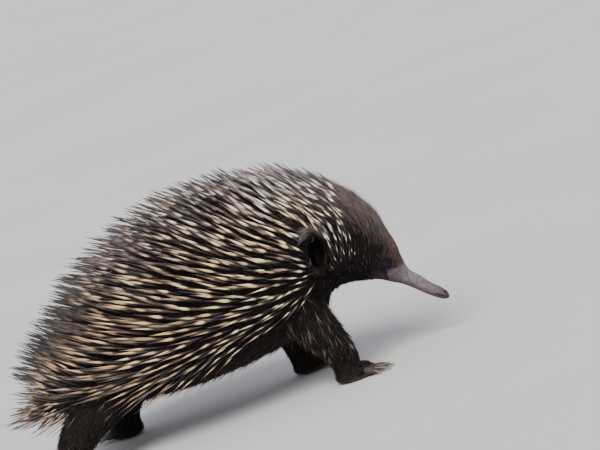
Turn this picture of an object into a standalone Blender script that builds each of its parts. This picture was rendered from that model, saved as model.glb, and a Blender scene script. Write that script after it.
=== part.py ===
"""A short-beaked echidna, life size, walking with its beak held low.

Metres, with +Z up and +X the way the beak points. The animal's right side is at -Y.
The origin is on the floor, under the middle of the animal's length.
"""

import math
import random

import bmesh
import bpy
import numpy as np
from mathutils import Matrix, Vector
from mathutils.bvhtree import BVHTree

MM = 0.001
GAP = 0.3 * MM

# The skin under the coat, from the beak's tip to the tail's root, in millimetres.
# Each station is a flat section: its highest point x, z, its lowest point x, z,
# its half width, and how far its widest level lies below the middle, as a share.
STATIONS = (
    ("tip", 213.4, 34.8, 212.6, 32.4, 1.6, 0.0),
    ("lips", 212.0, 38.4, 208.2, 33.0, 4.0, 0.0),
    ("nostrils", 208.6, 44.4, 201.6, 37.0, 5.2, 0.0),
    ("beak", 201.4, 52.4, 193.4, 43.8, 6.2, 0.0),
    ("mid_beak", 192.8, 63.4, 182.8, 54.0, 8.0, 0.0),
    ("beak_root", 185.6, 72.6, 173.6, 61.6, 10.8, 0.0),
    ("muzzle", 183.0, 86.5, 163.5, 67.0, 15.6, 0.0),
    ("eyes", 182.8, 99.5, 152.5, 72.4, 22.0, 0.05),
    ("brow", 177.6, 120.5, 140.5, 76.5, 31.0, 0.08),
    ("cheeks", 170.4, 142.5, 129.0, 79.5, 40.0, 0.10),
    ("crown", 150.0, 169.5, 118.0, 80.0, 49.0, 0.10),
    ("ears", 118.5, 188.5, 108.0, 76.5, 58.0, 0.10),
    ("nape", 88.0, 196.0, 97.0, 64.0, 68.0, 0.12),
    ("shoulders", 45.0, 201.0, 72.0, 48.0, 78.0, 0.14),
    ("chest", -5.0, 197.0, 25.0, 40.0, 85.0, 0.16),
    ("back", -55.0, 179.0, -30.0, 37.0, 88.0, 0.16),
    ("loins", -100.0, 148.0, -86.0, 40.0, 78.0, 0.14),
    ("rump", -131.0, 118.0, -121.0, 46.0, 63.0, 0.10),
    ("haunch_end", -155.0, 97.0, -151.0, 50.0, 46.0, 0.05),
    ("tail_root", -171.0, 78.0, -170.0, 56.0, 27.0, 0.0),
)

# Where the nodes part, in stations.
BEAK_ENDS = 5.25
HEAD_ENDS = 11.85
NECK_ENDS = 12.7
TORSO_ENDS = 18.85

# Sides round each section and rings between stations of the lofts.
BEAK_SIDES, BEAK_RINGS = 12, 2
BODY_SIDES, BODY_RINGS = 24, 3

# The spined coat, from station to station: length and lift off the skin.
SPINE_LENGTHS = (
    (9.5, 12.0),
    (10.5, 18.0),
    (11.6, 26.0),
    (12.6, 33.0),
    (14.0, 43.0),
    (16.0, 49.0),
    (19.0, 50.0),
)
SPINE_LIFTS = (
    (9.5, 18.0),
    (10.6, 30.0),
    (11.6, 40.0),
    (13.0, 44.0),
    (15.0, 54.0),
    (16.0, 74.0),
    (17.0, 80.0),
)
FLANK_LIFTS = ((9.5, 14.0), (11.6, 26.0), (13.0, 30.0), (17.0, 34.0), (19.0, 44.0))
# How far the spines turn from straight back towards the ridge, in degrees: a row for a
# station, and in it a value for each of these degrees round from the ridge.
SWEEP_DEGREES = (0, 25, 50, 72, 92, 112, 132)
SPINE_SWEEPS = (
    (10.4, (0, 2, 10, 34, 54, 52, 42)),
    (11.6, (0, 28, 44, 50, 54, 40, 20)),
    (12.6, (0, 28, 42, 44, 32, 22, 6)),
    (14.0, (0, 26, 38, 38, 25, 15, -4)),
    (15.5, (0, 30, 42, 42, 30, 18, 0)),
    (17.0, (0, 40, 60, 58, 44, 28, 10)),
)
# How low the spines reach: a height above the floor on the body, degrees round on the head.
HEM_HEIGHTS = (
    (11.8, 90.0),
    (12.6, 82.0),
    (14.0, 66.0),
    (15.0, 57.0),
    (16.0, 50.0),
    (17.0, 48.0),
    (19.0, 54.0),
)
HEAD_HEM_DEGREES = ((9.5, 25.0), (9.95, 108.0), (10.6, 124.0), (11.85, 122.0))
SPINE_THICKNESS = 3.1 * MM
THICK_SPINE_LENGTH = 45.0 * MM
SPINE_SUNK = 4.0 * MM
SPINE_BELLY = 0.38
SPINE_ROOT_SHARE = 0.6
HEM_LENGTH_SHARE = 0.8
HEM_BAND = 0.3
SPINE_DISORDER = 0.07
LIFT_STEP = 0.12
LIFT_TRIES = 5
TORSO_SPACING = 14.4 * MM
NECK_SPACING = 12.6 * MM
HEAD_SPACING = 12.0 * MM
SEAM_MARGIN = 0.16
CROWN_FRONT = 9.55

EYE_STATION, EYE_ANGLE = 6.96, math.radians(91.5)
EYE_RADIUS = 4.6 * MM
EYE_DEPTH = 3.7 * MM
LID_RADIUS, LID_THICKNESS = 4.3 * MM, 2.3 * MM

EAR_STATION, EAR_ANGLE = 11.2, math.radians(91)
EAR_LONG = 1.55
EAR_TILT = math.radians(-18)
EAR_CLEAR = 20.0 * MM
# The ear's cup and the plug that makes room for it, as radii and heights in millimetres.
EAR_CUP = (
    (0, -7.5),
    (4.6, -6.5),
    (6.2, -2.0),
    (7.2, 3.2),
    (8.8, 3.4),
    (8.2, -2.0),
    (6.6, -8.5),
    (0, -9.5),
)
EAR_PLUG = ((0, 16.0), (9.2, 16.0), (9.2, 3.4), (8.6, -2.0), (7.0, -8.8), (0, -9.9))

# The line of the mouth on one side, as stations and degrees, and the nostrils.
MOUTH_PATH = ((2.3, 118), (1.7, 112), (1.1, 106), (0.6, 100), (0.25, 96))
MOUTH_RADIUS = 0.45 * MM
NOSTRIL_STATION, NOSTRIL_ANGLE = 1.35, math.radians(38)
NOSTRIL_RADII = (1.5 * MM, 0.8 * MM, 0.9 * MM)

# A foreleg and a hind leg as level rings: x from the hip to the foot as a share,
# distance from the midline, height, half length and half width.
FORELEG_RINGS = (
    (0.0, 40, 100, 24, 20),
    (0.3, 49, 74, 26, 21),
    (0.72, 57, 46, 21, 18),
    (0.93, 60, 30, 17.5, 15),
    (1.0, 60, 20.15, 15.5, 13.5),
)
HINDLEG_RINGS = (
    (0.0, 38, 98, 31, 20),
    (0.12, 43, 72, 37, 21),
    (0.5, 54, 49, 37, 21),
    (0.88, 61, 31, 24, 17.5),
    (1.0, 62, 20.15, 17, 15),
)
SHOULDER_X, HIP_X = 66.0, -110.0
STANCE = {"foreleg_right": 98.0, "foreleg_left": 62.0, "hindleg_right": -170.0, "hindleg_left": -122.0}
LEG_SIDES = 14

PAW_RADII = (20.0 * MM, 16.5 * MM, 11.0 * MM)
PAW_HEIGHT, PAW_AHEAD = 6.5 * MM, 5.0 * MM
ANKLE_FOOT, ANKLE_TOP = 6.0 * MM, 20.0 * MM
TOE_RADII = (6.5 * MM, 4.2 * MM, 5.0 * MM)
TOE_REACH = 15.0 * MM
CLAW_HEIGHT, CLAW_ROOT = 5.2 * MM, 4.5 * MM
CLAW_DROP = 0.9 * MM
# Claws of a forefoot and of a hind foot, inner toe first: heading off the foot's own
# in degrees, length, width.
FORE_CLAWS = ((34, 12, 4.6), (17, 18, 5.6), (0, 20, 6.0), (-17, 18, 5.6), (-34, 12, 4.6))
HIND_CLAWS = ((42, 9, 4.2), (18, 36, 5.0), (-2, 27, 4.8), (-20, 15, 4.4), (-38, 11, 4.0))
FORE_HEADING = math.radians(-6)
HIND_HEADING = math.radians(-138)

# The tail's stub: sections behind its base, as distance back, drop and size. And its
# rows of spines, as distance back and radius.
TAIL_SIDES = 12
TAIL_SECTIONS = ((8, 2, 0.8), (17, 5, 0.56), (24, 8, 0.28))
TAIL_ROWS = ((5, 11.0), (12, 8.5), (19, 5.5))
TAIL_SPINE_LENGTHS = (36.0 * MM, 43.0 * MM)

SEED = 11


def eased(table, at):
    """The value of a table of (place, value) pairs at a place between its rows."""
    places, values = zip(*table)
    return float(np.interp(at, places, values))


def smooth(share):
    share = min(max(share, 0.0), 1.0)
    return share * share * (3 - 2 * share)


def station(u):
    """The measures of the section at station u, on a smooth curve through the named ones."""
    last = len(STATIONS) - 1
    u = min(max(u, 0.0), float(last))
    first = min(int(u), last - 1)
    t = u - first
    before, here, there, after = (
        np.array(STATIONS[min(max(first + k, 0), last)][1:]) for k in (-1, 0, 1, 2)
    )
    return (
        here
        + 0.5 * t * (there - before)
        + t * t * (before - 2.5 * here + 2 * there - 0.5 * after)
        + t * t * t * (1.5 * (here - there) + 0.5 * (after - before))
    )


def skin(u, angle, grow=0.0):
    """A point of the skin at station u. Angle 0 is the midline of the back, and 90 degrees the right side."""
    top_x, top_z, low_x, low_z, half_width, droop = station(u)
    centre = Vector((top_x + low_x, 0, top_z + low_z)) * (MM / 2)
    up = Vector((top_x - low_x, 0, top_z - low_z)) * (MM / 2)
    up_length = up.length
    up *= (up_length + grow) / up_length
    height = math.cos(angle) - droop * math.sin(angle) ** 2
    side = -math.sin(angle) * (half_width * MM + grow)
    return centre + up * height + Vector((0, side, 0))


def directions(u, angle):
    """At a point of the skin: the ways back along the body, up towards the ridge of the back, and out."""
    step = 0.02
    back = (skin(u + step, angle) - skin(u - step, angle)).normalized()
    ridge = skin(u, angle - step) - skin(u, angle + step)
    out = ridge.cross(back).normalized()
    if angle < 0:
        ridge = -ridge
    ridge = (ridge - back * ridge.dot(back)).normalized()
    if out.dot(skin(u, angle, MM) - skin(u, angle)) < 0:
        out = -out
    return back, ridge, out


def mesh_object(name, points, faces):
    mesh = bpy.data.meshes.new(name)
    mesh.from_pydata([tuple(p) for p in points], [], faces)
    made = bpy.data.objects.new(name, mesh)
    bpy.context.scene.collection.objects.link(made)
    return made


def face_outwards(made):
    shape = bmesh.new()
    shape.from_mesh(made.data)
    bmesh.ops.remove_doubles(shape, verts=shape.verts, dist=0.01 * MM)
    bmesh.ops.recalc_face_normals(shape, faces=shape.faces)
    shape.to_mesh(made.data)
    shape.free()


def loft(name, rings, tip=None):
    """A closed solid through rings of as many points each, with flat ends, or a point at the last end."""
    sides = len(rings[0])
    points = [p for ring in rings for p in ring]
    faces = []
    for first in range(0, (len(rings) - 1) * sides, sides):
        for k in range(sides):
            after = (k + 1) % sides
            faces.append((first + k, first + after, first + sides + after, first + sides + k))
    faces.append(tuple(reversed(range(sides))))
    last = (len(rings) - 1) * sides
    if tip is None:
        faces.append(tuple(range(last, last + sides)))
    else:
        points.append(tip)
        faces += [(last + k, last + (k + 1) % sides, last + sides) for k in range(sides)]
    made = mesh_object(name, points, faces)
    face_outwards(made)
    return made


def body_length(name, start, end, sides, rings_each, grow=0.0):
    """The stretch of the body between two stations."""
    count = max(2, round((end - start) * rings_each) + 1)
    turns = [2 * math.pi * k / sides for k in range(sides)]
    return loft(name, [[skin(u, turn, grow) for turn in turns] for u in np.linspace(start, end, count)])


def seam(u, side):
    """The station a little before (-1) or after (+1) station u, half a gap away from it."""
    step = 0.05
    middle = lambda at: (skin(at, 0) + skin(at, math.pi)) / 2
    pace = (middle(u + step) - middle(u - step)).length / (2 * step)
    return u + side * GAP / 2 / pace


def take_evaluated(node):
    """Gives a node the mesh that its modifiers make, and removes them."""
    graph = bpy.context.evaluated_depsgraph_get()
    made = bpy.data.meshes.new_from_object(node.evaluated_get(graph))
    node.modifiers.clear()
    node.data = made


def keep_largest(node):
    """Keeps a node's largest closed surface."""
    shape = bmesh.new()
    shape.from_mesh(node.data)
    left = set(shape.faces)
    islands = []
    while left:
        island, edge_of_it = set(), [left.pop()]
        while edge_of_it:
            face = edge_of_it.pop()
            island.add(face)
            for edge in face.edges:
                for other in edge.link_faces:
                    if other in left:
                        left.remove(other)
                        edge_of_it.append(other)
        islands.append(island)
    islands.sort(key=lambda island: sum(face.calc_area() for face in island))
    scraps = [face for island in islands[:-1] for face in island]
    bmesh.ops.delete(shape, geom=scraps, context="FACES")
    shape.to_mesh(node.data)
    shape.free()


def combine(node, pieces, operation):
    """One Boolean of a node with a collection of closed pieces, which are then removed."""
    if not pieces:
        return
    held = bpy.data.collections.new(node.name + "_pieces")
    bpy.context.scene.collection.children.link(held)
    for piece in pieces:
        bpy.context.scene.collection.objects.unlink(piece)
        held.objects.link(piece)
    modifier = node.modifiers.new(operation.lower(), "BOOLEAN")
    modifier.operation = operation
    modifier.operand_type = "COLLECTION"
    modifier.collection = held
    modifier.solver = "MANIFOLD"
    take_evaluated(node)
    for piece in pieces:
        bpy.data.objects.remove(piece)
    bpy.data.collections.remove(held)
    keep_largest(node)


def ellipsoid(name, place, radii, turn=0.0, segments=16, rings=8):
    shape = bmesh.new()
    bmesh.ops.create_uvsphere(shape, u_segments=segments, v_segments=rings, radius=1.0)
    matrix = Matrix.Translation(place) @ Matrix.Rotation(turn, 4, "Z") @ Matrix.Diagonal((*radii, 1.0))
    bmesh.ops.transform(shape, matrix=matrix, verts=shape.verts)
    mesh = bpy.data.meshes.new(name)
    shape.to_mesh(mesh)
    shape.free()
    made = bpy.data.objects.new(name, mesh)
    bpy.context.scene.collection.objects.link(made)
    return made


def turned(name, profile, matrix, steps):
    """A profile of (radius, height) pairs, down its outer side, turned about Z and then placed."""
    made = mesh_object(name, [(r, 0, z) for r, z in profile], [])
    made.data.edges.add(len(profile) - 1)
    for k, edge in enumerate(made.data.edges):
        edge.vertices = (k, k + 1)
    screw = made.modifiers.new("turn", "SCREW")
    screw.steps = screw.render_steps = steps
    screw.use_merge_vertices = True
    screw.merge_threshold = 0.00001
    take_evaluated(made)
    made.data.transform(matrix)
    face_outwards(made)
    return made


def frame_at(place, out, along):
    """A matrix at a place whose Z points out and whose Y points along."""
    across = along.cross(out).normalized()
    along = out.cross(across)
    return Matrix.Translation(place) @ Matrix((across, along, out)).transposed().to_4x4()


def material(name, colour, roughness):
    made = bpy.data.materials.new(name)
    made.use_nodes = True
    shader = made.node_tree.nodes["Principled BSDF"]
    shader.inputs["Base Color"].default_value = (*colour, 1.0)
    shader.inputs["Roughness"].default_value = roughness
    shader.inputs["Metallic"].default_value = 0.0
    return made


def finish(node, look, crease=math.radians(40)):
    node.data.materials.clear()
    node.data.materials.append(look)
    node.data.shade_smooth()
    node.data.set_sharp_from_angle(angle=crease)


def girth(share):
    """How far a spine reaches from its middle line at a share of its length, in half widths."""
    return 1.15 * np.minimum(0.6 + 1.1 * share, 1.65 * (1 - share))


class Coat:
    """The spines, each kept clear of the others and of every limb that it would cross."""

    def __init__(self, solids):
        self.roots = []
        self.tips = []
        self.half_widths = []
        self.trees = [BVHTree.FromPolygons(*self.shape_of(solid)) for solid in solids]

    @staticmethod
    def shape_of(solid):
        mesh = solid.data
        mesh.calc_loop_triangles()
        return [v.co.copy() for v in mesh.vertices], [tuple(t.vertices) for t in mesh.loop_triangles]

    def clear_of_solids(self, root, way, length, half_width, own):
        for share in np.linspace(0.04, 1.0, 25):
            place = root + way * (length * share)
            room = half_width * girth(share) + 3 * GAP
            for number, tree in enumerate(self.trees):
                if number == own and share < 0.3:
                    continue
                nearest, normal, _, distance = tree.find_nearest(place)
                inside = distance < 15 * MM and (place - nearest).dot(normal) < 0
                if distance < room or inside:
                    return False
        return True

    def clear_of_spines(self, root, tip, half_width):
        if not self.roots:
            return True
        starts, ends = np.array(self.roots), np.array(self.tips)
        near = np.linalg.norm((starts + ends) / 2 - np.array((root + tip) / 2), axis=1) < 0.06
        if not near.any():
            return True
        starts, ends = starts[near], ends[near]
        steps = np.linspace(0, 1, 25)
        mine = np.array(root) + steps[:, None] * np.array(tip - root)
        ways = ends - starts
        lengths = (ways**2).sum(axis=1)
        offsets = mine[:, None] - starts[None]
        shares = np.clip((offsets * ways).sum(axis=2) / lengths, 0, 1)
        apart = np.linalg.norm(offsets - shares[..., None] * ways, axis=2)
        widths = np.array(self.half_widths)[near] * girth(shares) + half_width * girth(steps)[:, None]
        return bool((apart > widths + 2 * GAP).all())

    def grow(self, root, way, out, length, own=0):
        """A spine from a root on the skin, lifted until it stands clear, or None where it can't."""
        half_width = SPINE_THICKNESS / 2 * (length / THICK_SPINE_LENGTH) ** 0.5
        for _ in range(LIFT_TRIES):
            tip = root + way * length
            clear = self.clear_of_solids(root, way, length, half_width, own)
            if clear and self.clear_of_spines(root, tip, half_width):
                self.roots.append(root)
                self.tips.append(tip)
                self.half_widths.append(half_width)
                return spine(root, way, length, half_width)
            way = (way + LIFT_STEP * out + Vector(np.random.uniform(-0.05, 0.05, 3))).normalized()
        return None


def spine(root, way, length, half_width):
    """A spindle with three sides: narrow at its sunk root, widest below its middle, and sharp."""
    across = way.orthogonal().normalized()
    other = way.cross(across)
    roll = random.uniform(0, 2 * math.pi)
    turns = [roll + 2 * math.pi * k / 3 for k in range(3)]
    rings = []
    for place, share in ((-SPINE_SUNK, SPINE_ROOT_SHARE), (length * SPINE_BELLY, 1.0)):
        radius = half_width * share * 1.15
        middle = root + way * place
        rings.append([
            middle + (across * math.cos(t) + other * math.sin(t)) * radius for t in turns
        ])
    return loft("spine", rings, root + way * length)


def hem_angle(u):
    """How far round from the ridge the spines reach at station u."""
    if u < HEAD_ENDS:
        return math.radians(eased(HEAD_HEM_DEGREES, u))
    hem = eased(HEM_HEIGHTS, u) * MM
    angle = math.radians(150)
    while skin(u, angle).z < hem and angle > 0:
        angle -= math.radians(1)
    return angle


def lie_of(u, angle):
    """The way a spine points, and the way out of the skin there."""
    back, ridge, out = directions(u, angle)
    degrees = abs(math.degrees(angle))
    rows = [(at, np.interp(degrees, SWEEP_DEGREES, sweeps)) for at, sweeps in SPINE_SWEEPS]
    sweep = math.radians(eased(rows, u))
    flat = back * math.cos(sweep) + ridge * math.sin(sweep)
    flank = smooth((degrees - 25) / 60)
    lift = math.radians(eased(SPINE_LIFTS, u) * (1 - flank) + eased(FLANK_LIFTS, u) * flank)
    return flat * math.cos(lift) + out * math.sin(lift), out


def spine_sites(start, end, spacing):
    """Staggered places on the skin between two stations, as (station, angle) pairs."""
    fine = np.linspace(start, end, 200)
    ridge = [skin(u, math.radians(30)) for u in fine]
    walked = np.concatenate([[0], np.cumsum([(b - a).length for a, b in zip(ridge, ridge[1:])])])
    rows = max(1, round(walked[-1] / (spacing * 0.87)))
    for row in range(rows + 1):
        u = float(np.interp(walked[-1] * (row + 0.5) / (rows + 1), walked, fine))
        edge = hem_angle(u)
        angles = np.linspace(-edge, edge, 161)
        around = [skin(u, a) for a in angles]
        round_it = np.concatenate([[0], np.cumsum([(b - a).length for a, b in zip(around, around[1:])])])
        count = max(3, round(round_it[-1] / spacing))
        for k in range(count):
            share = (k + 0.25 + 0.5 * (row % 2)) / count
            share += random.uniform(-0.16, 0.16) / count
            yield u + random.uniform(-0.04, 0.04), float(np.interp(share * round_it[-1], round_it, angles))


def coat_spines(coat, start, end, spacing, ears):
    """The spines of one node, as closed pieces."""
    pieces = []
    for u, angle in spine_sites(start, end, spacing):
        root = skin(u, angle)
        if any((root - ear).length < EAR_CLEAR for ear in ears):
            continue
        way, out = lie_of(u, angle)
        way = (way + Vector(np.random.uniform(-SPINE_DISORDER, SPINE_DISORDER, 3))).normalized()
        length = eased(SPINE_LENGTHS, u) * MM * random.uniform(0.86, 1.06)
        length *= 1 - (1 - HEM_LENGTH_SHARE) * smooth((abs(angle) / hem_angle(u) - 1 + HEM_BAND) / HEM_BAND)
        piece = coat.grow(root, way, out, length)
        if piece:
            pieces.append(piece)
    return pieces


def make_eye(name, side):
    back, ridge, out = directions(EYE_STATION, side * EYE_ANGLE)
    place = skin(EYE_STATION, side * EYE_ANGLE) - out * EYE_DEPTH
    return ellipsoid(name, place, (EYE_RADIUS,) * 3, segments=12, rings=8)


def lids(side):
    """The rim of the lids round an eye, and the ball that leaves room for it."""
    back, ridge, out = directions(EYE_STATION, side * EYE_ANGLE)
    place = skin(EYE_STATION, side * EYE_ANGLE)
    thick = LID_THICKNESS / 2
    turns = np.linspace(0, -2 * math.pi, 6)[:-1]
    ring = [(LID_RADIUS + thick * math.cos(t), thick * math.sin(t)) for t in turns]
    made = turned("lids", [*ring, ring[0]], frame_at(place, out, ridge), 14)
    room = ellipsoid("eye_room", place - out * EYE_DEPTH, (EYE_RADIUS + GAP,) * 3, segments=12, rings=8)
    return made, room


def ear_frame(side):
    back, ridge, out = directions(EAR_STATION, side * EAR_ANGLE)
    along = ridge * math.cos(EAR_TILT) + back * math.sin(EAR_TILT)
    placed = frame_at(skin(EAR_STATION, side * EAR_ANGLE), out, along)
    return placed @ Matrix.Diagonal((1.0, EAR_LONG, 1.0, 1.0))


def make_ear(name, side):
    """The cup of an ear, open outwards."""
    return turned(name, [(r * MM, z * MM) for r, z in EAR_CUP], ear_frame(side), 16)


def ear_room(side):
    """A plug a gap larger than the cup's outside, to seat it in the head."""
    return turned("ear_room", [(r * MM, z * MM) for r, z in EAR_PLUG], ear_frame(side), 16)


def mouth_line():
    """A thin tube along the lips, to cut the line of the mouth."""
    places = [skin(u, math.radians(degrees)) for u, degrees in MOUTH_PATH]
    places += [skin(0.0, 0) * 0.35 + skin(0.0, math.pi) * 0.65 + Vector((0.3 * MM, 0, 0))]
    places += [Vector((p.x, -p.y, p.z)) for p in reversed(places[:-1])]
    curve = bpy.data.curves.new("mouth_line", "CURVE")
    curve.dimensions = "3D"
    curve.bevel_depth = MOUTH_RADIUS
    curve.bevel_resolution = 0
    curve.use_fill_caps = True
    line = curve.splines.new("POLY")
    line.points.add(len(places) - 1)
    for point, place in zip(line.points, places):
        point.co = (*place, 1)
    made = bpy.data.objects.new("mouth_line", curve)
    bpy.context.scene.collection.objects.link(made)
    return as_mesh(made)


def as_mesh(curve_object):
    """A mesh object in a curve's place, with its caps welded on."""
    graph = bpy.context.evaluated_depsgraph_get()
    mesh = bpy.data.meshes.new_from_object(curve_object.evaluated_get(graph))
    shape = bmesh.new()
    shape.from_mesh(mesh)
    bmesh.ops.remove_doubles(shape, verts=shape.verts, dist=0.00001)
    bmesh.ops.recalc_face_normals(shape, faces=shape.faces)
    shape.to_mesh(mesh)
    shape.free()
    made = bpy.data.objects.new(curve_object.name + "_solid", mesh)
    made.matrix_world = curve_object.matrix_world
    bpy.context.scene.collection.objects.link(made)
    bpy.data.objects.remove(curve_object)
    return made


def nostril(side):
    place = skin(NOSTRIL_STATION, side * NOSTRIL_ANGLE)
    return ellipsoid("nostril", place, NOSTRIL_RADII, segments=8, rings=6)


def make_beak():
    node = body_length("beak", 0.0, seam(BEAK_ENDS, -1), BEAK_SIDES, BEAK_RINGS)
    combine(node, [mouth_line(), nostril(1), nostril(-1)], "DIFFERENCE")
    return node


def leg_rings(name):
    """The level rings of a leg, at their places under the body."""
    fore = name.startswith("fore")
    top_x = SHOULDER_X if fore else HIP_X
    side = -1 if name.endswith("right") else 1
    for share, across, height, half_length, half_width in FORELEG_RINGS if fore else HINDLEG_RINGS:
        x = top_x + (STANCE[name] - top_x) * share
        yield Vector((x, side * across, height)) * MM, half_length * MM, half_width * MM


def make_leg(name):
    turns = [2 * math.pi * k / LEG_SIDES for k in range(LEG_SIDES)]
    rings = [
        [centre + Vector((long * math.cos(t), wide * math.sin(t), 0)) for t in turns]
        for centre, long, wide in leg_rings(name)
    ]
    return loft(name, rings)


def claw(start, heading, length, width):
    """A claw with five sides that runs forward and down, and rests its tip on the floor."""
    forward = Vector((math.cos(heading), math.sin(heading), 0))
    across = Vector((-forward.y, forward.x, 0))
    drop = start.z - CLAW_DROP
    rings = []
    for share, size in ((-0.3, 0.95), (0.15, 1.0), (0.65, 0.8)):
        bend = max(share, 0) ** 1.6
        centre = start + forward * (length * share) - Vector((0, 0, drop * bend))
        wide, high = width * 0.5 * size, width * 0.32 * size
        turns = [math.radians(90 + 72 * k) for k in range(5)]
        rings.append([
            centre + across * (wide * math.cos(t)) + Vector((0, 0, high * math.sin(t))) for t in turns
        ])
    tip = start + forward * length - Vector((0, 0, drop))
    return loft("claw", rings, tip)


def make_foot(name):
    """A paw with its claws, cut flat where it stands."""
    fore = name.startswith("fore")
    side = -1 if name.endswith("right") else 1
    ankle, half_length, half_width = list(leg_rings(name.replace("foot", "leg")))[-1]
    heading = (FORE_HEADING if fore else HIND_HEADING) * -side
    forward = Vector((math.cos(heading), math.sin(heading), 0))
    middle = Vector((ankle.x, ankle.y, PAW_HEIGHT)) + forward * PAW_AHEAD
    node = ellipsoid(name, middle, PAW_RADII, heading, 12, 7)
    rings = []
    for height, grow in ((ANKLE_FOOT, 1.1), (ANKLE_TOP - GAP / 2, 1.0)):
        long, wide = half_length * grow, half_width * grow
        turns = [2 * math.pi * k / LEG_SIDES for k in range(LEG_SIDES)]
        rings.append([
            Vector((ankle.x + long * math.cos(t), ankle.y + wide * math.sin(t), height)) for t in turns
        ])
    pieces = [loft("ankle", rings)]
    for turn, length, width in FORE_CLAWS if fore else HIND_CLAWS:
        toe_heading = heading + math.radians(turn) * -side
        toe_way = Vector((math.cos(toe_heading), math.sin(toe_heading), 0))
        toe = middle + toe_way * TOE_REACH
        pieces.append(ellipsoid("toe", toe, TOE_RADII, toe_heading, 8, 4))
        start = Vector((toe.x, toe.y, CLAW_HEIGHT)) + toe_way * CLAW_ROOT
        pieces.append(claw(start, toe_heading, length * MM, width * MM))
    combine(node, pieces, "UNION")
    shape = bmesh.new()
    bmesh.ops.create_cube(shape, size=1.0)
    matrix = Matrix.Translation((middle.x, middle.y, -15 * MM)) @ Matrix.Diagonal((0.2, 0.2, 0.03, 1.0))
    bmesh.ops.transform(shape, matrix=matrix, verts=shape.verts)
    mesh = bpy.data.meshes.new("below_floor")
    shape.to_mesh(mesh)
    shape.free()
    below = bpy.data.objects.new("below_floor", mesh)
    bpy.context.scene.collection.objects.link(below)
    combine(node, [below], "DIFFERENCE")
    return node


def make_tail():
    """The stub of the tail, behind the torso's last section."""
    start = seam(TORSO_ENDS, 1)
    base = [skin(start, 2 * math.pi * k / TAIL_SIDES) for k in range(TAIL_SIDES)]
    centre = sum(base, Vector()) / TAIL_SIDES
    rings = [base]
    for back, drop, size in TAIL_SECTIONS:
        shift = Vector((-back, 0, -drop)) * MM
        rings.append([centre + (p - centre) * size + shift for p in base])
    return loft("tail", rings)


def tail_spines(coat, tail):
    """Spines that fan out round the top and sides of the tail's stub."""
    pieces = []
    start = sum((v.co for v in tail.data.vertices[:TAIL_SIDES]), Vector()) / TAIL_SIDES
    for back, radius in TAIL_ROWS:
        for k in range(7):
            turn = math.radians(-105 + 35 * k)
            out = Vector((-0.25, -math.sin(turn), math.cos(turn))).normalized()
            root = start + Vector((-back, 0, -back * 0.3)) * MM
            root += Vector((0, -math.sin(turn) * radius * 1.9, math.cos(turn) * radius * 0.8)) * MM
            way = (Vector((-1, 0, -0.05)) + out * 0.38).normalized()
            piece = coat.grow(root, way, out, random.uniform(*TAIL_SPINE_LENGTHS), own=1)
            if piece:
                pieces.append(piece)
    return pieces


def centre_on_floor(nodes):
    """Moves every node alike, to put the origin on the floor under the middle of them all."""
    places = np.array([v.co for node in nodes for v in node.data.vertices])
    low, high = places.min(axis=0), places.max(axis=0)
    shift = Matrix.Translation((-(low[0] + high[0]) / 2, -(low[1] + high[1]) / 2, -low[2]))
    for node in nodes:
        node.data.transform(shift)


def clear_scene():
    for old in list(bpy.data.objects):
        bpy.data.objects.remove(old)


def gather(nodes):
    """Puts the finished nodes in a collection of their own."""
    kept = bpy.data.collections.new("echidna")
    bpy.context.scene.collection.children.link(kept)
    for node in nodes:
        bpy.context.scene.collection.objects.unlink(node)
        kept.objects.link(node)


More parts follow.
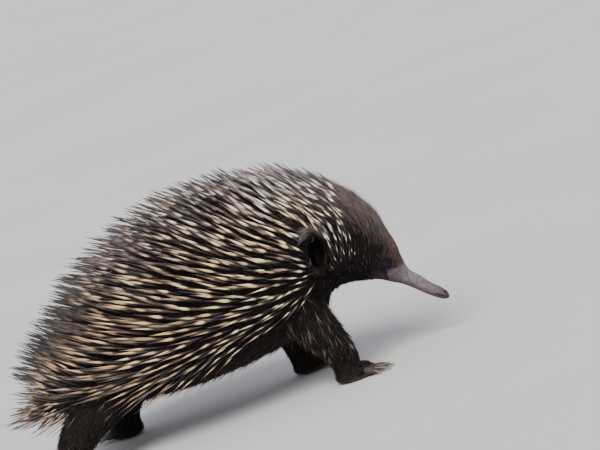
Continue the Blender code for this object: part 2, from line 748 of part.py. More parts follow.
def main():
    clear_scene()
    random.seed(SEED)
    np.random.seed(SEED)
    looks = {
        "naked_skin": material("naked_skin", (0.16, 0.12, 0.12), 0.55),
        "dark_coat": material("dark_coat", (0.035, 0.026, 0.022), 0.75),
        "eye": material("eye", (0.012, 0.012, 0.014), 0.12),
        "ear_skin": material("ear_skin", (0.05, 0.04, 0.04), 0.7),
        "paw": material("paw", (0.06, 0.045, 0.038), 0.65),
    }

    beak = make_beak()
    head = body_length("head", seam(BEAK_ENDS, 1), seam(HEAD_ENDS, -1), BODY_SIDES, 2)
    neck = body_length("neck", seam(HEAD_ENDS, 1), seam(NECK_ENDS, -1), BODY_SIDES, 4)
    torso = body_length("torso", seam(NECK_ENDS, 1), seam(TORSO_ENDS, -1), BODY_SIDES, BODY_RINGS)
    tail = make_tail()
    legs = [make_leg(name) for name in STANCE]
    feet = [make_foot(name.replace("leg", "foot")) for name in STANCE]
    for leg in legs:
        grown = body_length("body_room", 10.0, TORSO_ENDS, BODY_SIDES, 4, 2 * GAP)
        combine(leg, [grown], "DIFFERENCE")

    ears = [make_ear("ear_right", 1), make_ear("ear_left", -1)]
    eyes = [make_eye("eye_right", 1), make_eye("eye_left", -1)]
    ear_places = [skin(EAR_STATION, side * EAR_ANGLE) for side in (1, -1)]

    whole = body_length("whole", 0.0, TORSO_ENDS, BODY_SIDES, BODY_RINGS)
    coat = Coat([whole, tail, *legs, *feet, *ears])
    bpy.data.objects.remove(whole)
    margin = SEAM_MARGIN
    head_spines = coat_spines(coat, CROWN_FRONT, HEAD_ENDS - margin, HEAD_SPACING, ear_places)
    neck_spines = coat_spines(coat, HEAD_ENDS + margin, NECK_ENDS - margin, NECK_SPACING, ear_places)
    torso_spines = coat_spines(coat, NECK_ENDS + margin, TORSO_ENDS - margin * 2, TORSO_SPACING, ear_places)
    stub_spines = tail_spines(coat, tail)

    lid_right, room_right = lids(1)
    lid_left, room_left = lids(-1)
    combine(head, [*head_spines, lid_right, lid_left], "UNION")
    combine(head, [room_right, room_left, ear_room(1), ear_room(-1)], "DIFFERENCE")
    combine(neck, neck_spines, "UNION")
    combine(torso, torso_spines, "UNION")
    combine(tail, stub_spines, "UNION")

    nodes = [beak, head, neck, torso, tail, *legs, *feet, *ears, *eyes]
    centre_on_floor(nodes)
    gather(nodes)
    for node in (head, neck, torso, tail, *legs):
        finish(node, looks["dark_coat"])
    for node in feet:
        finish(node, looks["paw"])
    finish(beak, looks["naked_skin"])
    for node in eyes:
        finish(node, looks["eye"])
    for node in ears:
        finish(node, looks["ear_skin"])


main()
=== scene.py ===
"""The looks of the echidna: its skin, eyes, claws, spines and fur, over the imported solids.

Everything is in the solids' own frame: metres, +Z up, the beak towards +X, the animal's
right side at -Y.
"""

import math

import bpy
import numpy as np
from mathutils import Matrix, Vector


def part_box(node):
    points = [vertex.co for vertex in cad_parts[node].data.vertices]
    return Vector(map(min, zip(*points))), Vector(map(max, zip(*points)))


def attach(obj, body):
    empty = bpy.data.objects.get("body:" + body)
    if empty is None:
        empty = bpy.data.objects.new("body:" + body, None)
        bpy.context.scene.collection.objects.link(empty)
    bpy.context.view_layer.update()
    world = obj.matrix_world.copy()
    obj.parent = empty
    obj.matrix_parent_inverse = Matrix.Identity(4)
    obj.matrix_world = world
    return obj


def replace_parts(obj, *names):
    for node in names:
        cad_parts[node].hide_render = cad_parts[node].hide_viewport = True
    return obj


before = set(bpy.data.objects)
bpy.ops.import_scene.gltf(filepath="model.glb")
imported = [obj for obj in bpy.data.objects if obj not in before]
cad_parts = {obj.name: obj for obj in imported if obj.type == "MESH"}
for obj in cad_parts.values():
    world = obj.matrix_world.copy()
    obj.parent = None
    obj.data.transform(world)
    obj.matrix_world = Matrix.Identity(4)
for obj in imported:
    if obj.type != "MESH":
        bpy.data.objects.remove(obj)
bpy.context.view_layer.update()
bpy.ops.object.select_all(action="DESELECT")
chance = np.random.default_rng(7)

MM = 0.001

# The animal's measures

# Sections of the body from the beak's tip to the tail's root, in millimetres: highest
# point x, z, lowest point x, z, half width, and how far the widest level droops.
SECTIONS = np.array((
    (213.8, 36.0, 212.0, 32.2, 2.4, 0.0),
    (212.4, 39.8, 208.0, 32.8, 4.4, 0.0),
    (208.8, 45.0, 201.6, 36.9, 5.3, 0.0),
    (201.4, 52.4, 193.4, 43.8, 6.2, 0.0),
    (192.8, 63.4, 182.8, 54.0, 8.0, 0.0),
    (185.6, 72.6, 173.6, 61.6, 10.8, 0.0),
    (183.0, 86.5, 163.5, 67.0, 15.6, 0.0),
    (182.8, 99.5, 152.5, 72.4, 22.0, 0.05),
    (177.6, 120.5, 140.5, 76.5, 31.0, 0.08),
    (170.4, 142.5, 129.0, 79.5, 40.0, 0.10),
    (150.0, 169.5, 118.0, 80.0, 49.0, 0.10),
    (118.5, 188.5, 108.0, 76.5, 58.0, 0.10),
    (88.0, 196.0, 97.0, 64.0, 68.0, 0.12),
    (45.0, 201.0, 72.0, 48.0, 78.0, 0.14),
    (-5.0, 197.0, 25.0, 40.0, 85.0, 0.16),
    (-55.0, 179.0, -30.0, 37.0, 88.0, 0.16),
    (-100.0, 148.0, -86.0, 40.0, 78.0, 0.14),
    (-131.0, 118.0, -121.0, 46.0, 63.0, 0.10),
    (-155.0, 97.0, -151.0, 50.0, 46.0, 0.05),
    (-171.0, 78.0, -170.0, 56.0, 27.0, 0.0),
))
TAIL_STARTS = 18.85
# Rings of the tail's stub, in millimetres: how far back and down, and their share of the size.
TAIL_RINGS = (
    (4, 0.8, 0.91), (8, 2, 0.8), (13, 3.6, 0.68), (18, 5.2, 0.54),
    (22, 7, 0.36), (24.5, 8, 0.16), (25, 8.3, 0),
)
# Rings of the beak's rounded end: share of the size, and how far ahead in millimetres.
SNOUT_RINGS = ((0, 0.75), (0.35, 0.7), (0.65, 0.5), (0.88, 0.22))

EYE_STATION, EYE_ANGLE = 6.96, math.radians(91.5)
EYE_RADIUS, EYE_DEPTH = 4.6 * MM, 3.7 * MM
EAR_STATION, EAR_ANGLE, EAR_TILT = 11.2, math.radians(91), math.radians(-18)
EAR_HALF_WIDTH, EAR_HALF_HEIGHT = 8.3 * MM, 13.8 * MM

# Legs as level rings: share of the way from hip to foot, distance from the midline,
# height, half length and half width, all in millimetres.
FORELEG = np.array((
    (0.0, 40, 100, 24, 20),
    (0.3, 49, 74, 26, 21),
    (0.72, 57, 46, 21, 18),
    (0.93, 60, 30, 17.5, 15),
    (1.0, 60, 20, 15.5, 13.5),
    (1.03, 60, 8, 15.0, 13.5),
))
HINDLEG = np.array((
    (0.0, 38, 98, 31, 20),
    (0.12, 43, 72, 37, 21),
    (0.5, 54, 49, 37, 21),
    (0.88, 61, 31, 24, 17.5),
    (1.0, 62, 20, 17, 15),
    (1.03, 62, 8, 15.5, 14),
))
SHOULDER_X, HIP_X = 66.0, -110.0
STANCE = {"foreleg_right": 98.0, "foreleg_left": 62.0, "hindleg_right": -170.0, "hindleg_left": -122.0}
# Claws, inner toe first: heading off the foot's own in degrees, length, width.
FORE_CLAWS = ((34, 12, 4.6), (17, 18, 5.6), (0, 20, 6.0), (-17, 18, 5.6), (-34, 12, 4.6))
HIND_CLAWS = ((42, 9, 4.2), (18, 36, 5.0), (-2, 27, 4.8), (-20, 15, 4.4), (-38, 11, 4.0))
FORE_HEADING, HIND_HEADING = math.radians(-6), math.radians(-138)
# Half length, half width and half height of a paw, and balls of a toe: how far ahead of its
# middle, half sizes and height, all in millimetres.
PAW_HALF = (17.0, 14.2, 9.6)
TOE_BALLS = ((-4.5, (6.2, 4.4, 5.0), 7.4), (0.0, (6.3, 4.1, 4.7), 6.3), (4.2, (4.2, 3.5, 3.9), 5.4))

# The spined coat, by station: length, lift off the skin on the ridge and on the flank.
SPINE_LENGTHS = ((9.3, 15), (10, 23), (10.6, 29), (11.6, 34), (12.6, 39), (14, 46), (16, 52), (19, 52))
SPINE_LIFTS = ((9.5, 16), (10.6, 25), (11.6, 34), (13, 41), (15, 54), (16, 74), (17, 80))
FLANK_LIFTS = ((9.5, 14), (11.6, 24), (13, 26), (17, 32), (19, 44))
# How many degrees the spines turn up towards the ridge, by degrees from the ridge and by station.
SWEEP_DEGREES = (0, 25, 50, 72, 92, 112, 132)
SWEEP_STATIONS = (10.4, 11.6, 12.6, 14.0, 15.5, 17.0)
SPINE_SWEEPS = np.array((
    (0, 2, 10, 34, 54, 52, 42),
    (0, 28, 44, 50, 54, 40, 20),
    (0, 28, 42, 44, 32, 22, 6),
    (0, 26, 38, 38, 25, 15, -4),
    (0, 30, 42, 42, 30, 18, 0),
    (0, 40, 60, 58, 44, 28, 10),
), float)
# How far down the spines reach: heights in millimetres by station, and on the head degrees
# from the ridge by station.
HEM_HEIGHTS = ((11.8, 92), (12.6, 84), (14, 66), (15, 57), (16, 50), (17, 48), (19, 54))
HEAD_HEM_DEGREES = ((9.2, 105), (10, 115), (10.4, 122), (10.7, 121), (10.9, 101), (11.7, 106), (11.85, 124))
# The station where the spines begin, by degrees from the ridge.
SPINES_BEGIN = ((0, 10), (40, 9.85), (70, 9.65), (100, 9.25))
# Zones of spines, head and neck first: start and end station, and spacing in millimetres.
FRONT_SPINES = ((9.2, 11.9, 8.2), (11.9, 12.9, 9.0))
REAR_SPINES = ((12.9, 15.5, 9.5), (15.5, 18.8, 8.3))
# How close the rows of spines are, as a share of the spacing in them.
ROW_SHARE = 0.87
# Rings of spines round the tail's stub: how far back and how wide in millimetres, how many,
# and how far they spread.
TAIL_SPINES = (
    (-4, 12.6, 16, 0.82), (0, 12.0, 15, 0.66), (4, 11.2, 14, 0.52), (9, 10.0, 12, 0.4),
    (14, 8.2, 11, 0.3), (18, 6.4, 9, 0.24), (22, 4.6, 7, 0.18),
)


def through(rows, at):
    """Rows of measures read at fractional places, on a smooth curve through them."""
    last = len(rows) - 1
    at = np.clip(np.asarray(at, float), 0, last)
    first = np.minimum(at.astype(int), last - 1)
    t = (at - first)[..., None]
    before, here, there, after = (rows[np.clip(first + k, 0, last)] for k in (-1, 0, 1, 2))
    return (
        here
        + 0.5 * t * (there - before)
        + t * t * (before - 2.5 * here + 2 * there - 0.5 * after)
        + t**3 * (1.5 * (here - there) + 0.5 * (after - before))
    )


def eased(table, at):
    places, values = zip(*table)
    return np.interp(at, places, values)


def from_ridge(angle):
    """Degrees from the ridge, on either side."""
    return np.abs(np.degrees(angle))


def walk(line):
    """How far along a line of points each one lies."""
    return np.concatenate([[0], np.cumsum(np.linalg.norm(np.diff(line, axis=0), axis=1))])


def smooth(share):
    share = np.clip(share, 0.0, 1.0)
    return share * share * (3 - 2 * share)


def grows(value, start, width):
    """A share that grows from 0 at a start to 1 a width further on."""
    return smooth((value - start) / width)


def fades(value, start, width):
    return 1 - grows(value, start, width)


def unit(ways):
    return ways / np.maximum(np.linalg.norm(ways, axis=-1, keepdims=True), 1e-12)


def dot(a, b):
    return (a * b).sum(axis=-1, keepdims=True)


BODY_PLACE = np.zeros(3)


def body(u, angle, grow=0.0):
    """Points of the body's surface. Angle 0 is the ridge of the back and 90 degrees the right side."""
    u, angle, grow = np.broadcast_arrays(np.asarray(u, float), angle, grow)
    top_x, top_z, low_x, low_z, half_width, droop = np.moveaxis(through(SECTIONS, u), -1, 0)
    flat = np.zeros_like(top_x)
    centre = np.stack((top_x + low_x, flat, top_z + low_z), -1) * (MM / 2)
    up = np.stack((top_x - low_x, flat, top_z - low_z), -1) * (MM / 2)
    length = np.linalg.norm(up, axis=-1)
    up = up * ((length + grow) / length)[..., None]
    height = np.cos(angle) - droop * np.sin(angle) ** 2
    side = -np.sin(angle) * (half_width * MM + grow)
    return centre + up * height[..., None] + np.stack((flat, side, flat), -1) + BODY_PLACE


def middle_of(u):
    """The middle of the body at stations."""
    return (body(u, 0.0) + body(u, math.pi)) / 2


def directions(u, angle):
    """At points of the body: the ways back along it, up towards the ridge, and out."""
    step = 0.02
    back = unit(body(u + step, angle) - body(u - step, angle))
    ridge = body(u, angle - step) - body(u, angle + step)
    out = unit(np.cross(ridge, back))
    ridge = ridge * np.where(np.asarray(angle) < 0, -1.0, 1.0)[..., None]
    ridge = unit(ridge - back * dot(back, ridge))
    outward = dot(out, body(u, angle, MM) - body(u, angle))
    return back, ridge, out * np.where(outward < 0, -1.0, 1.0)


def settle():
    """Where the solids' frame has the body, found from an eye of theirs."""
    low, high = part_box("eye_right")
    out = directions(EYE_STATION, EYE_ANGLE)[2]
    drawn = body(EYE_STATION, EYE_ANGLE) - out * EYE_DEPTH
    return np.array((low + high) / 2) - drawn


BODY_PLACE = settle()


def lie(u, angle, lift_share=1.0):
    """The way that spines and fur point, and the way out of the skin."""
    back, ridge, out = directions(u, angle)
    degrees = from_ridge(angle)
    rows, columns = SPINE_SWEEPS.shape
    along = np.interp(u, SWEEP_STATIONS, range(rows))
    around = np.interp(degrees, SWEEP_DEGREES, range(columns))
    i = np.minimum(along.astype(int), rows - 2)
    j = np.minimum(around.astype(int), columns - 2)
    s, t = along - i, around - j
    here = SPINE_SWEEPS[i, j] * (1 - t) + SPINE_SWEEPS[i, j + 1] * t
    there = SPINE_SWEEPS[i + 1, j] * (1 - t) + SPINE_SWEEPS[i + 1, j + 1] * t
    sweep = np.radians(here * (1 - s) + there * s)[..., None]
    flank = grows(degrees, 25, 60)
    lift = eased(SPINE_LIFTS, u) * (1 - flank) + eased(FLANK_LIFTS, u) * flank
    lift = np.radians(lift * lift_share)[..., None]
    flat = back * np.cos(sweep) + ridge * np.sin(sweep)
    return flat * np.cos(lift) + out * np.sin(lift), out


def local_frame(u, angle, tilt=0.0):
    """A place on the body with its ways along x, y and out."""
    back, ridge, out = directions(u, angle)
    along = ridge * math.cos(tilt) + back * math.sin(tilt)
    across = unit(np.cross(along, out))
    return body(u, angle), np.stack((across, np.cross(out, across), out))


def in_frame(points, place_and_ways):
    place, ways = place_and_ways
    return (points - place) @ ways.T


SIDES = {"right": 1, "left": -1}
EYES = {name: local_frame(EYE_STATION, side * EYE_ANGLE) for name, side in SIDES.items()}
EARS = {name: local_frame(EAR_STATION, side * EAR_ANGLE, EAR_TILT) for name, side in SIDES.items()}

# How far along the body each station lies, as a share: the unwrap of the skin uses it.
FINE_STATIONS = np.linspace(0, TAIL_STARTS, 800)
WALKED = walk(body(FINE_STATIONS, np.radians(60)))


def is_fore(name):
    return name.startswith("fore")


def side_of(name):
    """The sign of a leg's own side along y."""
    return -SIDES[name.split("_")[1]]


def leg_measures(name, at):
    """Ring measures of a leg at places 0 to 5, hip to sole: middle, half length, half width."""
    rings, top_x = (FORELEG, SHOULDER_X) if is_fore(name) else (HINDLEG, HIP_X)
    share, across, height, half_length, half_width = np.moveaxis(through(rings, at), -1, 0)
    x = top_x + (STANCE[name] - top_x) * share
    centre = np.stack((x, side_of(name) * across, height), -1) * MM + BODY_PLACE
    return centre, half_length * MM, half_width * MM


def leg(name, at, turn, grow=0.0):
    """Points of a leg's surface. Turn 0 faces ahead."""
    centre, half_length, half_width = leg_measures(name, at)
    reach = np.stack((
        (half_length + grow) * np.cos(turn),
        (half_width + grow) * np.sin(turn),
        np.zeros(np.broadcast(at, turn).shape),
    ), -1)
    return centre + reach


def foot_heading(name):
    return (FORE_HEADING if is_fore(name) else HIND_HEADING) * -side_of(name)


def paw_middle(name):
    """The middle of a paw, a little ahead of its ankle."""
    ankle = leg_measures(name, np.array(4.0))[0]
    heading = foot_heading(name)
    ahead = np.array((math.cos(heading), math.sin(heading), 0)) * 5 * MM
    return np.array((ankle[0], ankle[1], 6.5 * MM)) + ahead


def toes(name):
    """The middle of each toe, its way, and its claw's length and width."""
    for turn, length, width in FORE_CLAWS if is_fore(name) else HIND_CLAWS:
        heading = foot_heading(name) - math.radians(turn) * side_of(name)
        way = np.array((math.cos(heading), math.sin(heading), 0))
        yield paw_middle(name) + way * 15 * MM, way, length * MM, width * MM


# Making meshes


def active(thing):
    bpy.ops.object.select_all(action="DESELECT")
    thing.select_set(True)
    bpy.context.view_layer.objects.active = thing
    return thing


def read_all(items, name, kind=np.int32, size=1):
    """A value, or a few, of every item of a mesh."""
    values = np.empty(len(items) * size, kind)
    items.foreach_get(name, values)
    return values


def coordinates(thing):
    return read_all(thing.data.vertices, "co", np.float32, 3).reshape(-1, 3).astype(float)


def set_coordinates(thing, points):
    thing.data.vertices.foreach_set("co", points.astype(np.float32).ravel())
    thing.data.update()


def keep_point_value(thing, name, values):
    made = thing.data.attributes.get(name) or thing.data.attributes.new(name, "FLOAT", "POINT")
    made.data.foreach_set("value", np.asarray(values, np.float32))


def wrapped(name, rings):
    """A closed tube of skin, from a grid wrapped round and laid on rings of points."""
    count, sides = rings.shape[:2]
    bpy.ops.mesh.primitive_grid_add(x_subdivisions=count - 1, y_subdivisions=sides, size=2)
    made = bpy.context.object
    made.name = name
    grid = coordinates(made)
    ring = np.rint((grid[:, 0] + 1) / 2 * (count - 1)).astype(int)
    turn = np.rint((grid[:, 1] + 1) / 2 * sides).astype(int) % sides
    set_coordinates(made, rings[ring, turn])
    bpy.ops.object.mode_set(mode="EDIT")
    bpy.ops.mesh.select_all(action="SELECT")
    bpy.ops.mesh.remove_doubles(threshold=0.000002)
    bpy.ops.mesh.normals_make_consistent(inside=False)
    bpy.ops.object.mode_set(mode="OBJECT")
    return made


def refine(thing, middle, radius):
    """Cuts the faces near a place into four."""
    mesh = thing.data
    centres = read_all(mesh.polygons, "center", np.float32, 3).reshape(-1, 3)
    near = np.linalg.norm(centres - middle, axis=1) < radius
    active(thing)
    bpy.ops.object.mode_set(mode="EDIT")
    bpy.ops.mesh.select_mode(type="FACE")
    bpy.ops.mesh.select_all(action="DESELECT")
    bpy.ops.object.mode_set(mode="OBJECT")
    mesh.polygons.foreach_set("select", near)
    bpy.ops.object.mode_set(mode="EDIT")
    bpy.ops.mesh.subdivide(number_cuts=1, smoothness=0)
    bpy.ops.object.mode_set(mode="OBJECT")


def apply_all(thing):
    active(thing)
    for modifier in list(thing.modifiers):
        bpy.ops.object.modifier_apply(modifier=modifier.name)


def joined(things, name):
    active(things[0])
    for thing in things:
        thing.select_set(True)
    bpy.ops.object.join()
    made = bpy.context.object
    made.name = name
    return made


def cover(thing, look):
    """Gives a thing one material."""
    thing.data.materials.clear()
    thing.data.materials.append(look)


def settle_piece(thing, look=None):
    """Finishes a piece: its place goes into its mesh, and it rides on the one body."""
    active(thing)
    bpy.ops.object.transform_apply(location=True, rotation=True, scale=True)
    bpy.ops.object.shade_smooth()
    if look:
        cover(thing, look)
    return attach(thing, "root")


# The skin

BODY_SIDES = 128
# Spacing of the skin's rings, in millimetres, by station.
RING_SPACING = ((0, 0.5), (1.5, 0.8), (5, 1.0), (8.5, 1.3), (10, 1.8), (11.8, 2.0), (13, 4.0), (19, 4.0))


def coat_depth(u, angle):
    """How far the skin lies inside the coat's core."""
    low = smooth((np.abs(angle) - math.radians(100)) / math.radians(40))
    face = grows(u, 5.4, 1.4)
    return -(face * 1.4 + grows(u, 10, 3) * (0.6 + 1.6 * low)) * MM


def ring_stations():
    steps = np.diff(WALKED) / (eased(RING_SPACING, FINE_STATIONS[1:]) * MM)
    rings = np.cumsum(np.concatenate([[0], steps]))
    return np.interp(np.linspace(0, rings[-1], int(rings[-1])), rings, FINE_STATIONS)


def body_rings():
    turns = (np.arange(BODY_SIDES) / BODY_SIDES - 0.5) * 2 * math.pi
    stations = ring_stations()[:, None]
    rings = body(stations, turns[None], coat_depth(stations, turns[None]))
    tip, stub = rings[0], rings[-1]
    middle, end = tip.mean(axis=0), stub.mean(axis=0)
    ahead = unit(middle - rings[3].mean(axis=0)) * MM
    snout = [middle + (tip - middle) * size + ahead * reach for size, reach in SNOUT_RINGS]
    tail = [end + (stub - end) * size - np.array((back, 0, drop)) * MM for back, drop, size in TAIL_RINGS]
    return np.concatenate([snout, rings, tail])


def hill(distance, middle, width):
    return np.exp(-(((distance - middle) / width) ** 2))


def set_eye_in(points, eye):
    """Sinks the socket and raises the lids and the folds round an eye."""
    x, y, z = in_frame(points, eye).T / MM
    near = (np.abs(z) < 9) & (np.hypot(x, y) < 16)
    r = np.hypot(x / 1.12, y / (1.0 + 0.06 * np.tanh(y)))
    upper = smooth(0.5 + y / 6)
    round_it = np.arctan2(y, x)
    uneven = r + 0.30 * np.sin(3 * round_it + 1) + 0.22 * np.sin(5 * round_it + 2)
    patchy = 0.62 + 0.38 * np.sin(2 * round_it + 0.6)
    shift = -3.4 * fades(r, 2.55, 0.75)
    shift += (0.75 + 0.35 * upper) * hill(r, 3.9, 0.85)
    shift -= 0.42 * hill(uneven, 5.5, 0.65) * patchy
    shift += 0.34 * hill(uneven, 6.8, 0.8) * (1.1 - patchy)
    shift -= 0.22 * hill(uneven, 8.3, 0.6) * (0.5 + 0.5 * np.cos(round_it))
    shift += 0.5 * grows(y, 3, 4) * hill(r, 7.5, 2.2)
    points[near] += (shift * MM)[near, None] * eye[1][2]


def hollow_ear(points, ear):
    """Sinks the ear's long cup, with its inner fold, and raises its rim."""
    x, y, z = in_frame(points, ear).T / MM
    near = (np.abs(z) < 22) & (np.abs(x) < 20) & (np.abs(y) < 26)
    r = np.hypot(x / (EAR_HALF_WIDTH / MM), y / (EAR_HALF_HEIGHT / MM))
    shift = -10.5 * np.clip(1 - r**2, 0, None) ** 0.55
    shift += 1.2 * hill(x + 0.02 * y * y, 0.6, 1.6) * smooth((1 - r) / 0.35)
    shift += 0.8 * hill(r, 1.12, 0.13)
    points[near] += (shift * MM)[near, None] * ear[1][2]


# The line of the mouth, from its corner to the tip: station and degrees from the ridge.
MOUTH = ((2.6, 121), (2.3, 118), (1.7, 112), (1.1, 106), (0.6, 100), (0.25, 96), (0.0, 95))
NOSTRIL = 0.95, math.radians(42)


def mark_mouth(points):
    """Presses in the line of the mouth and the nostrils at the beak's tip."""
    stations, degrees = zip(*MOUTH)
    run = np.linspace(0, 1, 60)
    knots = np.linspace(0, 1, len(MOUTH))
    on_u, on_angle = np.interp(run, knots, stations), np.radians(np.interp(run, knots, degrees))
    fade = smooth(run / 0.25)
    spots = np.flatnonzero(points[:, 0] > body(3.2, 0.0)[0] - 4 * MM)
    for mirror in (1, -1):
        line = body(on_u, mirror * on_angle)
        away = np.linalg.norm(points[spots, None] - line[None], axis=2)
        nearest = away.argmin(axis=1)
        depth = 0.75 * MM * np.exp(-((away.min(axis=1) / (0.5 * MM)) ** 2)) * fade[nearest]
        out = directions(on_u, mirror * on_angle)[2]
        points[spots] -= out[nearest] * depth[:, None]
        nostril = body(NOSTRIL[0], mirror * NOSTRIL[1])
        along, _, out = directions(NOSTRIL[0], mirror * NOSTRIL[1])
        offset = points[spots] - nostril
        stretched = offset - along * dot(offset, along) * 0.6
        r = np.linalg.norm(stretched, axis=1) / MM
        shift = -1.7 * fades(r, 0.4, 0.8) + 0.35 * hill(r, 1.6, 0.35)
        points[spots] += out * (shift * MM)[:, None]


# Folds across the bare muzzle: station, depth in millimetres, and width in stations. The first
# slants forward as it goes down from under the eye.
FOLDS = (
    (6.95, 0.75, 0.07), (5.95, 0.30, 0.07), (5.62, 0.34, 0.06),
    (5.28, 0.26, 0.06), (4.86, 0.22, 0.06), (4.3, 0.16, 0.06),
)


# The station where the beak's pale skin ends, by degrees from the ridge.
PALE_ENDS = ((0, 6.1), (80, 6.15), (100, 6.85), (110, 6.74), (124, 6.5), (144, 6.2), (180, 6.15))
# The station where the face's fur begins, by degrees from the ridge.
FUR_EDGE = ((0, 5.35), (40, 5.5), (75, 6.0), (92, 6.45), (104, 7.35), (120, 7.7), (150, 7.4), (180, 7.2))


def fold_depth(u, angle):
    """How deep the folds are at places, in millimetres."""
    degrees = from_ridge(angle)
    bent = u + 0.07 * np.sin(degrees / 17) + 0.05 * np.sin(degrees / 7 + 2 * u)
    slanted = u + 0.0165 * (degrees - 100) + 0.04 * np.sin(degrees / 4.0)
    side = grows(degrees, 45, 30) * fades(degrees, 145, 25)
    low = grows(degrees, 102, 12)
    deep = np.zeros_like(bent)
    for number, (at, depth, width) in enumerate(FOLDS):
        deep += depth * (hill(slanted, at, width) * low if number == 0 else hill(bent, at, width)) * side
    return deep


def fold_muzzle(points):
    """Presses in the folds in front of and under the eyes."""
    spots = np.flatnonzero((points[:, 0] > body(7.6, 0.0)[0] - 36 * MM) & (points[:, 2] < 100 * MM))
    u, angle = BodyChart().read(points[spots])
    out = directions(u, angle)[2]
    points[spots] -= out * (fold_depth(u, angle) * MM)[:, None]


def make_body():
    made = wrapped("skin", body_rings())
    for eye in EYES.values():
        refine(made, eye[0], 11 * MM)
        refine(made, eye[0], 7 * MM)
    for ear in EARS.values():
        refine(made, ear[0], 19 * MM)
    points = coordinates(made)
    for eye in EYES.values():
        set_eye_in(points, eye)
    for ear in EARS.values():
        hollow_ear(points, ear)
    mark_mouth(points)
    fold_muzzle(points)
    set_coordinates(made, points)
    return made


LIMB_RINGS, LIMB_SIDES = 34, 32
# How far inside the solids' legs the skin and the roots of its fur lie, and the size of the
# blocks that soften leg and paw into one.
LEG_SKIN_DEPTH, LEG_ROOT_DEPTH, SOFT_BLOCK = 2.2 * MM, 2.6 * MM, 1.5 * MM


def add_ball(middle, half_sizes, turn, segments, rings):
    """A stretched ball, turned round the vertical."""
    bpy.ops.mesh.primitive_uv_sphere_add(
        segments=segments, ring_count=rings, radius=1, location=middle, rotation=(0, 0, turn)
    )
    bpy.context.object.scale = [half * MM for half in half_sizes]
    return bpy.context.object


def make_limb(name):
    """A leg with its paw and toes, in one soft skin."""
    turns = np.arange(LIMB_SIDES) / LIMB_SIDES * 2 * math.pi
    rings = leg(name, np.linspace(0, 5, LIMB_RINGS)[:, None], turns[None], -LEG_SKIN_DEPTH)
    ends = [np.repeat(ring.mean(axis=0)[None, None], LIMB_SIDES, axis=1) for ring in (rings[0], rings[-1])]
    parts = [wrapped(name + "_skin", np.concatenate([ends[0], rings, ends[1]]))]
    parts.append(add_ball(paw_middle(name), PAW_HALF, foot_heading(name), 32, 20))
    for toe, way, _, _ in toes(name):
        for ahead, size, height in TOE_BALLS:
            place = toe + way * ahead * MM
            place[2] = height * MM
            size = [half * (1.0 if is_fore(name) else 0.96) for half in size]
            parts.append(add_ball(place, size, math.atan2(way[1], way[0]), 16, 10))
    limb = joined(parts, name + "_skin")
    active(limb)
    bpy.ops.object.transform_apply(location=True, rotation=True, scale=True)
    remesh = limb.modifiers.new("soft", "REMESH")
    remesh.mode = "VOXEL"
    remesh.voxel_size = SOFT_BLOCK
    even = limb.modifiers.new("even", "SMOOTH")
    even.factor, even.iterations = 0.6, 9
    apply_all(limb)
    points = coordinates(limb)
    points[:, 2] = np.maximum(points[:, 2], 0.0)
    set_coordinates(limb, points)
    return limb


def make_skin(looks):
    """One skin of body, legs and paws."""
    skin = make_body()
    cover(skin, looks["skin"])
    for name in STANCE:
        limb = make_limb(name)
        cover(limb, looks["paw"])
        union = skin.modifiers.new("grow_" + name, "BOOLEAN")
        union.operation = "UNION"
        union.object = limb
        union.solver = "MANIFOLD"
        union.material_mode = "TRANSFER"
        apply_all(skin)
        bpy.data.objects.remove(limb)
    points = coordinates(skin)
    u, angle = BodyChart().read(points)
    unwrap_skin(skin, points, u, angle)
    mark_skin(skin, points, u, angle)
    return skin


def unwrap_place(u, angle):
    """Where a place on the body lies on the skin's unwrap."""
    share = np.interp(u, FINE_STATIONS, WALKED / WALKED[-1])
    return np.stack((0.06 + 0.88 * (angle / (2 * math.pi) + 0.5), 0.02 + 0.68 * share), -1)


def unwrap_leg(number, height, turn):
    """Where a place on a leg lies on the skin's unwrap."""
    wound = (turn / (2 * math.pi)) % 1.0
    return np.stack((0.02 + 0.245 * number + 0.2 * wound, 0.73 + 0.25 * np.clip(height / 0.11, 0, 1)), -1)


class BodyChart:
    """Finds the station and angle of places near the body's surface."""

    def __init__(self):
        self.stations = np.linspace(0, TAIL_STARTS, 420)
        self.middles = middle_of(self.stations)
        self.up = unit(body(self.stations, 0.0) - body(self.stations, math.pi))
        self.normals = unit(np.cross(self.up, np.array((0.0, 1.0, 0.0))))

    def read(self, points):
        """Each section is flat, so a place lies on the section whose plane it meets."""
        found_u = np.empty(len(points))
        for start in range(0, len(points), 20000):
            part = points[start : start + 20000]
            offset = part[:, None] - self.middles[None]
            plane = (offset * self.normals[None]).sum(axis=2)
            plane *= -1 if self.normals[0, 0] < 0 else 1
            crossing = (plane[:, :-1] <= 0) & (plane[:, 1:] > 0)
            gap = np.linalg.norm(offset, axis=2)[:, :-1]
            best = np.where(crossing, gap, gap + 10.0).argmin(axis=1)
            here = np.take_along_axis(plane, best[:, None], 1)[:, 0]
            there = np.take_along_axis(plane, best[:, None] + 1, 1)[:, 0]
            share = np.clip(here / np.where(np.abs(here - there) < 1e-12, 1.0, here - there), 0, 1)
            step = self.stations[1] - self.stations[0]
            found_u[start : start + 20000] = self.stations[best] + share * step
        rows = through(SECTIONS, found_u)
        up = body(found_u, 0.0) - body(found_u, math.pi)
        half = np.linalg.norm(up, axis=1) / 2
        high = ((points - middle_of(found_u)) * unit(up)).sum(axis=1) / half
        side = -(points[:, 1] - BODY_PLACE[1]) / (rows[:, 4] * MM)
        angle = np.arctan2(side, high)
        for _ in range(3):
            angle = np.arctan2(side, high + rows[:, 5] * np.sin(angle) ** 2)
        return found_u, angle


def unwound(turn, start):
    """Turns brought to within half a turn of where their faces start, so that no face wraps round."""
    return turn - 2 * math.pi * np.rint((turn - start) / (2 * math.pi))


